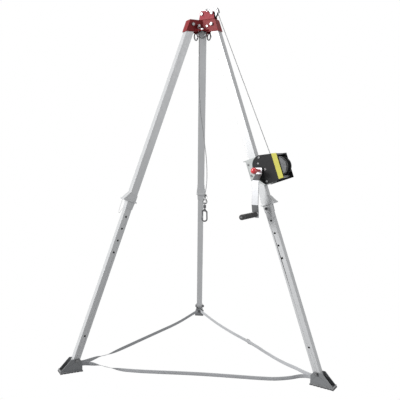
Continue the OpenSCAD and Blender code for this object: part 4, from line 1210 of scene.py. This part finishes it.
@dataclass
class Cable:
    """Wire rope from the drum over the sheaves to the snap hook.

    Attributes:
        shop: materials and node work.
        hook: place of the hook's axis on the ground plan.
        ferrule_top: height of the ferrule's upper end.
        ferrule_len: length from there to the ferrule's lower end.
        loop_drop: length from the ferrule's upper end to the middle of the loop.
        loop_r: radius of the loop.
        loop_reach: distance above the loop's middle at which its two halves meet.
        lift: travel of the hook; not used.
        outer: distance of the outer sheave's axle from the middle.
        inner: distance of the inner sheave's axle from the middle.
        drum_gap: distance of the drum's axis from the spindle.
        drum_tilt: how far the line between them turns from the leg's own X.
        wind_r: radius at which the rope lies on the drum.
        pitch: distance between two turns on the drum.
        turns: number of turns on it.
        wind_end: where the last turn leaves the drum, from the leg's middle plane.
        sink: how far the taut part's end lies inside the turns on the drum.
        gap: how far its start lies off the rope over the sheaves.
        hang: route of the hanging part, in millimetres.
        marks: outline of the ferrule's lower end, as radius and height.
        grooves: number of pressed grooves round the ferrule.
        first_groove: height of the first one.
        groove_pitch: distance between them.
        skin_r: radius of the ferrule.
        groove_r: its radius in a groove.
        channel: outline of the thimble's cross-section.
    """

    shop: Shop
    hook: Pair = (0.040, 0.012)
    ferrule_top: float = 1.108
    ferrule_len: float = 0.024
    loop_drop: float = 0.052
    loop_r: float = 0.015
    loop_reach: float = 0.028
    lift: float = 0.9
    outer: float = 0.079
    inner: float = 0.005
    drum_gap: float = 0.115
    drum_tilt: float = math.radians(6)
    wind_r: float = 0.034
    pitch: float = 0.0056
    turns: int = 4
    wind_end: float = -0.0112
    sink: float = 0.0052
    gap: float = 0.0001
    hang: Sequence[Point] = (
        (-21.65, 12.5, 2294.8), (-21.65, 12.5, 2240), (-21.6, 12.5, 2176), (-21, 12, 2110), (-20, 12, 2040),
        (-19, 12, 1950), (-17, 12, 1850), (-11, 12, 1770), (0, 12, 1650), (17, 12, 1540), (31, 12, 1440),
        (41, 12, 1370), (48, 12, 1290), (50, 12, 1210), (46, 12, 1150), (42, 12, 1122), (40, 12, 1108.3),
    )
    marks: Sequence[Pair] = ((0.0027, 0.0), (0.0050, 0.0), (0.0055, 0.0008))
    grooves: int = 5
    first_groove: float = 0.0022
    groove_pitch: float = 0.0042
    skin_r: float = 0.0055
    groove_r: float = 0.0051
    channel: Sequence[Pair] = (
        (0.0105, -0.0040), (0.0145, -0.0040), (0.0148, -0.0036), (0.0125, -0.0024), (0.0122, 0.0),
        (0.0125, 0.0024), (0.0148, 0.0036), (0.0145, 0.0040), (0.0105, 0.0040),
    )

    def build(self) -> None:
        """Makes the rope's stretches and the rope eye, and dresses the hook."""
        dress_all([(node, BRIGHT, 0.0007) for node in ("hook_eye", "hook_body", "hook_gate")], self.shop.paint)
        self._eye()
        self._hanging()
        self._top()
        self._taut_and_wound()

    def _rope(self, name: str, route: Sequence[Vector], body: Optional[str], node: str) -> bpy.types.Object:
        """Makes one stretch of the rope.

        Args:
            name: name of the piece.
            route: dense points of its centreline.
            body: CAD body that it rides on, or none.
            node: CAD node that it stands for.

        Returns:
            The piece.
        """
        made = self.shop.smith.strand(name, route, ROPE_D, self.shop.paint.get(ROPE))
        self.shop.finish(made, ROPE, body)
        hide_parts(node)
        return made

    def _hanging(self) -> None:
        """Makes the hanging part."""
        route = [Vector(p[:3]) / 1000 for p in smooth_route(self.hang, 12)]
        made = self._rope("rope_hanging", route, "hook_line", "cable_hanging")
        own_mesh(made)

    def _over(self, axle: float, angle: float) -> Vector:
        """Returns the rope's point at an angle round a sheave's axle, in the pulley's plane."""
        return Vector((axle + ROPE_RUN * math.cos(angle), 0, AXLE_Z + ROPE_RUN * math.sin(angle)))

    def _top(self) -> None:
        """Makes the stretch over the two sheaves."""
        leave = self._exit()[2]
        quarter = math.radians(90)
        route = [self._over(self.outer, leave + (quarter - leave) * i / 12) for i in range(13)]
        for i in range(8):
            route.append(self._over(self.outer - (self.outer - self.inner) * (i + 1) / 8, quarter))
        route += [self._over(self.inner, math.radians(90 + 6 * i)) for i in range(1, 16)]
        turn = Matrix.Rotation(Side.RIGHT.angle, 3, "Z")
        self._rope("rope_over_sheaves", [turn @ p for p in route], "head", "cable_top")

    def _exit(self) -> tuple[Pair, Pair, float, Pair]:
        """Finds where the taut part leaves the outer sheave and the drum.

        Returns:
            The tangent points on sheave and drum, the exit angle and the side vector.
        """
        axle = (self.outer - PIVOT_R, AXLE_Z - PIVOT_Z)
        sheave = (
            axle[0] * math.cos(SPLAY) + axle[1] * math.sin(SPLAY),
            axle[0] * math.sin(SPLAY) - axle[1] * math.cos(SPLAY),
        )
        drum = self._drum()
        span = (drum[0] - sheave[0], drum[1] - sheave[1])
        cross = math.asin((ROPE_RUN + self.wind_r) / math.hypot(*span))
        side = math.atan2(span[1], span[0]) - math.pi / 2 + cross
        b, s = math.cos(side), math.sin(side)
        return (
            (sheave[0] + ROPE_RUN * b, sheave[1] + ROPE_RUN * s),
            (drum[0] - self.wind_r * b, drum[1] - self.wind_r * s),
            SPLAY - side,
            (b, s),
        )

    def _drum(self) -> Pair:
        """Returns the drum's axis in the leg's frame, as distance outward and down."""
        out, down = self.drum_gap * math.cos(self.drum_tilt), self.drum_gap * math.sin(self.drum_tilt)
        return SPINDLE[0] + out, SPINDLE[1] + down

    def _taut_and_wound(self) -> None:
        """Makes the taut part and the turns on the drum."""
        place = leg_matrix(Side.RIGHT)
        start, end, _, (b, s) = self._exit()
        first = Vector((start[0], 0, -start[1])) - Vector((s, 0, b)) * self.gap
        last = Vector((end[0], self.wind_end, -end[1])) + Vector((s, 0, b)) * self.sink
        route = [place @ first.lerp(last, i / 60) for i in range(61)]
        taut = self._rope("rope_taut", route, None, "cable_taut")
        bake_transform(taut)
        drum = self._drum()
        phi = math.atan2(s, -b)
        points = []
        for i in range(self.turns * 36 + 1):
            left = self.turns - i / 36
            a = phi + 2 * math.pi * left
            y = self.wind_end + self.pitch * left
            points.append(Vector((drum[0] + self.wind_r * math.cos(a), y, -drum[1] + self.wind_r * math.sin(a))))
        lead = Vector((s, 0, b)) * 0.005
        points = [points[0] - lead] + points + [points[-1] + lead]
        self._rope("rope_wound", [place @ p for p in points], "drum", "wound_cable")

    def _eye(self) -> None:
        """Makes the loop at the rope's end, its thimble and the pressed ferrule."""
        middle = Vector((*self.hook, self.ferrule_top - self.loop_drop))
        low = Matrix.Translation((*self.hook, self.ferrule_top - self.ferrule_len))
        marks, skin, cut = list(self.marks), self.skin_r, self.groove_r
        for i in range(self.grooves):
            z = self.first_groove + i * self.groove_pitch
            marks += [(skin, z), (cut, z + 0.0006), (cut, z + 0.0016), (skin, z + 0.0022)]
        marks += [(skin, 0.0226), (0.0050, 0.0237), (0.0027, 0.0237)]
        ferrule = lathe("rope_ferrule", marks, low, 36)
        self.shop.finish(ferrule, TURNED, "hook_line")
        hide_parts("cable_end")
        opening = math.acos(self.loop_r / self.loop_reach)
        route = [Vector((0.0012, 0, self.loop_reach))]
        for i in range(41):
            a = math.pi / 2 - opening - (2 * math.pi - 2 * opening) * i / 40
            route.append(Vector((self.loop_r * math.cos(a), 0, self.loop_r * math.sin(a))))
        route.append(Vector((-0.0012, 0, self.loop_reach)))
        rope = self.shop.smith.strand("rope_eye", [middle + p for p in route], ROPE_D, self.shop.paint.get(ROPE))
        self.shop.finish(rope, ROPE, "hook_line")
        turn = Matrix.Translation(middle) @ Matrix.Rotation(math.radians(90), 4, "X")
        thimble = lathe("rope_thimble", self.channel, turn, 56)
        self.shop.finish(thimble, BRIGHT, "hook_line")


@dataclass
class Strap:
    """One run of webbing between two heels.

    Attributes:
        shop: materials and node work.
        node: CAD node that it stands for.
        body: CAD body that it rides on.
        start: first foot and the offset of its slot.
        end: last foot and the offset of its slot.
        middle: route between the heels, in millimetres, with the lean from flat in degrees.
        home: which foot the run follows when the legs fold; not used.
        pieces: names of other pieces on the run; not used.
        width: width of the webbing.
        thick: its thickness.
        selvedge: width of its rounded edges.
        loop: distances from a heel's centreline, outward and inward, between which the loop lies.
        stitched: lengths from a run's end between which its loop is stitched.
        rows: places of the rows of stitches, as shares of the width.
        stitch_rise: height of the stitches over the webbing's middle.
    """

    shop: Shop
    node: str
    body: str
    start: tuple[Side, float]
    end: tuple[Side, float]
    middle: Sequence[Leant]
    home: Side
    pieces: list[str] = field(default_factory=list)
    width: float = 0.025
    thick: float = 0.002
    selvedge: float = 0.0006
    loop: Pair = (0.014, -0.016)
    stitched: Pair = (0.030, 0.085)
    rows: Sequence[float] = (-0.38, -0.13, 0.13, 0.38)
    stitch_rise: float = 0.00115

    def route(self) -> list[Sequence[float]]:
        """Returns the run's dense route in metres, with the lean in degrees."""
        points = [(*heel_point(self.start[0], HEEL_R + past, self.start[1]), 90.0) for past in self.loop]
        points += [(x / 1000, y / 1000, z / 1000, lean) for x, y, z, lean in self.middle]
        points += [(*heel_point(self.end[0], HEEL_R + past, self.end[1]), 90.0) for past in reversed(self.loop)]
        return smooth_route(points, 0.008)

    @staticmethod
    def frames(route: Sequence[Sequence[float]]) -> list[tuple[Vector, Vector, Vector, Vector]]:
        """Finds place, heading, width direction and face direction at each point of a route.

        Args:
            route: dense route with lean.

        Returns:
            The four vectors of each point.
        """
        found = []
        for i, point in enumerate(route):
            before, after = route[max(0, i - 1)], route[min(len(route) - 1, i + 1)]
            ahead = (Vector(after[:3]) - Vector(before[:3])).normalized()
            flat = ahead.cross(Vector((0, 0, 1))).normalized()
            up = flat.cross(ahead)
            lean = math.radians(point[3])
            wide = flat * math.cos(lean) + up * math.sin(lean)
            face = up * math.cos(lean) - flat * math.sin(lean)
            found.append((Vector(point[:3]), ahead, wide, face))
        return found

    def section(self) -> list[Pair]:
        """Returns the webbing's cross-section, across and through, with rounded selvedges."""
        w, t = self.width / 2, self.thick / 2
        half = [(-w, 0.0), (-w + self.selvedge, -t * 0.8), (-w * 0.5, -t), (0.0, -t), (w * 0.5, -t),
                (w - self.selvedge, -t * 0.8)]
        return half + [(-a, -b) for a, b in half]

    def webbing(self, name: str, route: Sequence[Sequence[float]], lift: float = 0.0) -> bpy.types.Object:
        """Makes a strip of webbing with a UV map in metres along it.

        Args:
            name: name of the object.
            route: dense route with lean.
            lift: distance that the strip lies off the route, on its face side.

        Returns:
            The object.
        """
        section = self.section()
        count = len(section)
        verts, faces, along = [], [], [0.0]
        spots = self.frames(route)
        for i, (place, _, wide, face) in enumerate(spots):
            if i:
                along.append(along[-1] + (place - spots[i - 1][0]).length)
            verts += [place + wide * a + face * (b + lift) for a, b in section]
        for i in range(len(spots) - 1):
            for k in range(count):
                m = (k + 1) % count
                faces.append((i * count + k, i * count + m, (i + 1) * count + m, (i + 1) * count + k))
        faces.append(tuple(range(count - 1, -1, -1)))
        faces.append(tuple((len(spots) - 1) * count + k for k in range(count)))
        obj = mesh_object(name, verts, faces, smooth=60)
        layer = obj.data.uv_layers.new(name="UVMap")
        for loop in obj.data.loops:
            ring, k = divmod(loop.vertex_index, count)
            layer.data[loop.index].uv = (along[ring], section[k][0] / self.width + 0.5)
        return obj

    def follow(self, obj: bpy.types.Object, finish: Finish) -> bpy.types.Object:
        """Gives a soft piece its finish and lets it ride this run's foot.

        Args:
            obj: the piece.
            finish: its finish.

        Returns:
            The piece.
        """
        self.shop.finish(obj, finish, self.body)
        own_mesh(obj)
        return obj

    def stitching(self, name: str, route: Sequence[Sequence[float]], first: bool, last: bool) -> bpy.types.Object:
        """Makes the rows of stitches that close the loops at a run's ends.

        Args:
            name: name of the object.
            route: dense route with lean.
            first: whether the loop at the route's first end is stitched.
            last: whether the one at its last end is.

        Returns:
            The object.
        """
        places = []
        spots = self.frames(route)
        length = 0.0
        total = sum((b[0] - a[0]).length for a, b in zip(spots, spots[1:]))
        low, high = self.stitched
        for i in range(1, len(spots)):
            length += (spots[i][0] - spots[i - 1][0]).length
            if not (first and low < length < high or last and low < total - length < high):
                continue
            place, ahead, wide, face = spots[i]
            for share in self.rows:
                for sign in (-1, 1):
                    spot = place + wide * (share * self.width) + face * (sign * self.stitch_rise)
                    turn = Matrix((ahead, wide * sign, face * sign)).transposed().to_4x4()
                    places.append(Matrix.Translation(spot) @ turn)
        return self.shop.smith.scatter(name, bead(0.0046, 0.0005), places, self.shop.paint.get(THREAD))

    def build(self) -> None:
        """Makes the strip and its stitching."""
        route = self.route()
        strip = self.webbing(f"webbing_{self.node}", route)
        stitches = self.stitching(f"stitches_{self.node}", route, True, True)
        self.follow(stitches, THREAD)
        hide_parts(self.node)
        self.follow(strip, WEB)


@dataclass
class BuckledStrap(Strap):
    """The run that carries the buckle."""

    def cut(self, route: Sequence[Sequence[float]]) -> int:
        """Returns the index of the route's point at the buckle."""
        return min(range(len(route)), key=lambda i: (Vector(route[i][:3]) - BUCKLE_AT).length)

    def follow(self, obj: bpy.types.Object, finish: Finish) -> bpy.types.Object:
        """Gives a soft piece its finish, with no body, and bakes its placement into its points.

        Args:
            obj: the piece.
            finish: its finish.

        Returns:
            The piece.
        """
        self.shop.finish(obj, finish, None)
        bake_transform(obj)
        return obj

    def draw_in(self, obj: bpy.types.Object, finish: Finish) -> bpy.types.Object:
        """Lets a soft piece on the far side ride the buckle.

        Args:
            obj: the piece.
            finish: its finish.

        Returns:
            The piece.
        """
        self.shop.finish(obj, finish, "buckle")
        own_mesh(obj)
        return obj

    def build(self) -> None:
        """Makes the strip in two lengths, one each side of the buckle, and its stitching."""
        route = self.route()
        at = self.cut(route)
        strip = self.webbing(f"webbing_{self.node}", route[at:])
        far = self.webbing(f"webbing_{self.node}_far", route[: at + 1])
        near_rows = self.stitching(f"stitches_{self.node}", route[at:], False, True)
        far_rows = self.stitching(f"stitches_{self.node}_far", route[: at + 1], True, False)
        self.follow(near_rows, THREAD)
        self.draw_in(far_rows, THREAD)
        self.draw_in(far, WEB)
        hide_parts(self.node)
        self.follow(strip, WEB)


@dataclass
class FootStrap:
    """The three runs of webbing, the ladder buckle and the doubled tail.

    Attributes:
        shop: materials and node work.
        slot: distance of a shoe's slots from its middle plane.
        front: route of the front run between the heels, in millimetres, with the lean in degrees.
        left: route of the left run.
        right: route of the right run.
        tail: number of route points that the doubled tail covers.
        tail_lift: height of the tail over the run.
        rungs: places of the buckle's three rungs along the run.
        rung_half: half their length.
        rails: places of its two rails across the run.
        rail_half: half their length.
        buckle_lift: height of the buckle over the run.
        wire: radius of the buckle's bars.
        dome: length of their domed ends.
    """

    shop: Shop
    slot: float = 0.014
    front: Sequence[Leant] = (
        (-655, -412, 40, 88), (-600, -410, 33, 30), (-540, -412, 22, 20), (-460, -418, 15, 70),
        (-360, -423, 14, 82), (-240, -421, 14, 84), (-110, -416, 14, 84), (20, -413, 14, 84),
        (150, -415, 14, 84), (280, -420, 14, 84), (400, -424, 14, 84), (500, -424, 16, 84),
        (590, -419, 26, 85), (655, -412, 38, 88),
    )
    left: Sequence[Leant] = (
        (-676, -348, 40, 88), (-648, -292, 34, 60), (-612, -224, 24, 15), (-562, -134, 16, 60),
        (-510, -42, 14, 82), (-452, 60, 14, 84), (-394, 162, 14, 84), (-330, 274, 14, 84),
        (-268, 382, 14, 84), (-206, 490, 14, 84), (-146, 596, 18, 85), (-92, 690, 27, 86), (-46, 766, 37, 88),
    )
    right: Sequence[Leant] = (
        (46, 766, 37, 88), (92, 690, 27, 86), (150, 592, 18, 85), (208, 490, 15, 84), (266, 388, 15, 84),
        (322, 292, 17, 84), (375, 200, 19, 84), (430, 106, 17, 84), (488, 4, 15, 84), (546, -98, 15, 84),
        (598, -188, 20, 85), (642, -272, 31, 86), (676, -346, 40, 88),
    )
    tail: int = 22
    tail_lift: float = 0.0026
    rungs: Sequence[float] = (-0.018, 0.0, 0.018)
    rung_half: float = 0.0165
    rails: Sequence[float] = (-0.0155, 0.0155)
    rail_half: float = 0.019
    buckle_lift: float = 0.0025
    wire: float = 0.0016
    dome: float = 0.0012

    def build(self) -> None:
        """Makes the runs, the buckle and the tail."""
        out, back = self.slot, -self.slot
        runs = (
            Strap(self.shop, "strap_front", "lower_left", (Side.LEFT, out), (Side.RIGHT, back), self.front,
                  Side.LEFT),
            Strap(self.shop, "strap_left", "lower_rear", (Side.LEFT, back), (Side.REAR, out), self.left,
                  Side.REAR),
            BuckledStrap(self.shop, "strap_right", "lower_right", (Side.REAR, back), (Side.RIGHT, out), self.right,
                         Side.RIGHT, ["ladder_buckle", "webbing_tail"]),
        )
        self._buckle(runs[2])
        for run in runs:
            run.build()

    def _buckle(self, run: BuckledStrap) -> None:
        """Makes the doubled tail and the ladder buckle.

        Args:
            run: the run that carries them.
        """
        route = run.route()
        spots = run.frames(route)
        near = run.cut(route)
        tail = run.webbing("webbing_tail", route[near : near + self.tail], self.tail_lift)
        run.follow(tail, WEB)
        place, ahead, wide, face = spots[near]
        turn = Matrix.Translation(place) @ Matrix((ahead, wide, face)).transposed().to_4x4()
        verts, faces = [], []
        high = self.buckle_lift
        for x in self.rungs:
            self._bar(verts, faces, turn, Vector((x, -self.rung_half, high)), Vector((x, self.rung_half, high)))
        for y in self.rails:
            self._bar(verts, faces, turn, Vector((-self.rail_half, y, high)), Vector((self.rail_half, y, high)))
        buckle = mesh_object("ladder_buckle", verts, faces)
        self.shop.finish(buckle, ZINC, "buckle")
        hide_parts("strap_buckle")

    def _bar(self, verts: list[Vector], faces: list[Sequence[int]], turn: Matrix, a: Vector, b: Vector) -> None:
        """Adds a round bar with domed ends to a point and face list.

        Args:
            verts: points so far.
            faces: faces so far.
            turn: placement of the bar's frame.
            a: one end of its axis.
            b: the other end.
        """
        along = (b - a).normalized()
        flat = along.cross(Vector((0, 0, 1))).normalized()
        up = flat.cross(along)
        first, sides, length = len(verts), 12, (b - a).length
        stations = ((-self.dome, 0.5), (0.0, 1.0), (length, 1.0), (length + self.dome, 0.5))
        for at, share in stations:
            for k in range(sides):
                t = 2 * math.pi * k / sides
                spot = a + along * at + (flat * math.cos(t) + up * math.sin(t)) * self.wire * share
                verts.append(turn @ spot)
        for i in range(len(stations) - 1):
            for k in range(sides):
                m = (k + 1) % sides
                faces.append((first + i * sides + k, first + (i + 1) * sides + k, first + (i + 1) * sides + m,
                              first + i * sides + m))
        faces.append(tuple(first + k for k in range(sides)))
        faces.append(tuple(first + 3 * sides + k for k in range(sides - 1, -1, -1)))


@dataclass
class Studio:
    """Camera, lights and white surroundings, matched to the photograph.

    Attributes:
        yaw: turn of the whole camera round the tripod.
        pitch: how far the camera looks down.
        pan: how far it looks aside.
        roll: its tilt round the line of sight.
        distance: distance from the tripod's middle.
        height: height over the ground.
        lens: focal length, in millimetres.
        shift: sideways shift of the picture.
        lamps: name, place, width, power and target of each lamp.
    """

    yaw: float = 0.025
    pitch: float = 0.1012
    pan: float = -0.088
    roll: float = -0.0116
    distance: float = 3.8
    height: float = 1.44825
    lens: float = 50.26
    shift: float = 0.125
    lamps: Sequence[tuple[str, Point, float, float, Point]] = (
        ("key", (-12.6, -6.4, 6.5), 7.0, 3050.0, (0, 0, 1.2)),
        ("fill", (11.6, -4.4, 4.0), 8.0, 450.0, (0, 0, 1.0)),
        ("top", (0.8, 2.4, 9.0), 5.0, 200.0, (0, 0, 1.4)),
    )

    def build(self) -> None:
        """Makes the camera, the lights and the world."""
        self._camera()
        for lamp in self.lamps:
            self._lamp(*lamp)
        self._world()
        bpy.context.scene.view_settings.view_transform = "Standard"

    def _camera(self) -> None:
        """Makes the camera and puts it where the photograph was taken from."""
        data = bpy.data.cameras.new("camera")
        camera = link(bpy.data.objects.new("camera", data))
        level = Vector((math.sin(self.pan), math.cos(self.pan), 0))
        right = Vector((math.cos(self.pan), -math.sin(self.pan), 0))
        ahead = level * math.cos(self.pitch) - Vector((0, 0, math.sin(self.pitch)))
        up = right.cross(ahead)
        cam_x = right * math.cos(self.roll) - up * math.sin(self.roll)
        cam_y = right * math.sin(self.roll) + up * math.cos(self.roll)
        turn = Matrix((cam_x, cam_y, -ahead)).transposed().to_4x4()
        around = Matrix.Rotation(self.yaw, 4, "Z")
        camera.matrix_world = around @ Matrix.Translation((0, -self.distance, self.height)) @ turn
        data.lens = self.lens
        data.sensor_width = 36
        data.shift_x = self.shift
        data.clip_end = 100
        bpy.context.scene.camera = camera

    @staticmethod
    def _lamp(name: str, place: Point, size: float, power: float, target: Point) -> None:
        """Makes a round soft lamp.

        Args:
            name: its name.
            place: where it is.
            size: its width.
            power: its power.
            target: point that it is turned to.
        """
        data = bpy.data.lights.new(name, "AREA")
        data.shape = "DISK"
        data.size = size
        data.energy = power
        lamp = link(bpy.data.objects.new(name, data))
        lamp.location = place
        lamp.rotation_euler = (Vector(target) - Vector(place)).to_track_quat("-Z", "Y").to_euler()

    @staticmethod
    def _world() -> None:
        """Makes a dim world that is seen as white, directly and in metal."""
        world = bpy.data.worlds.new("studio")
        bpy.context.scene.world = world
        world.use_nodes = True
        build = Tree(world.node_tree)
        build.tree.nodes.clear()
        rays = build.add("ShaderNodeLightPath")
        seen = build.math("MAXIMUM", rays.outputs["Is Camera Ray"], rays.outputs["Is Transmission Ray"])
        seen = build.math("MAXIMUM", seen, rays.outputs["Is Glossy Ray"])
        light = build.add("ShaderNodeBackground", {"Color": (0.93, 0.96, 1.0, 1.0), "Strength": 0.30})
        white = build.add("ShaderNodeBackground", {"Color": (1.0, 1.0, 1.0, 1.0), "Strength": 1.0})
        both = build.add("ShaderNodeMixShader", {0: seen, 1: light.outputs[0], 2: white.outputs[0]})
        build.add("ShaderNodeOutputWorld", {0: both.outputs[0]})


def main() -> None:
    """Builds the sub-assemblies in order, then the studio."""
    logging.basicConfig(level=logging.INFO)
    shop = Shop()
    Head(shop).build()
    for side in Side:
        Leg(shop, side).build()
    Winch(shop).build()
    Cable(shop).build()
    FootStrap(shop).build()
    Studio().build()


if __name__ == "__main__":
    main()
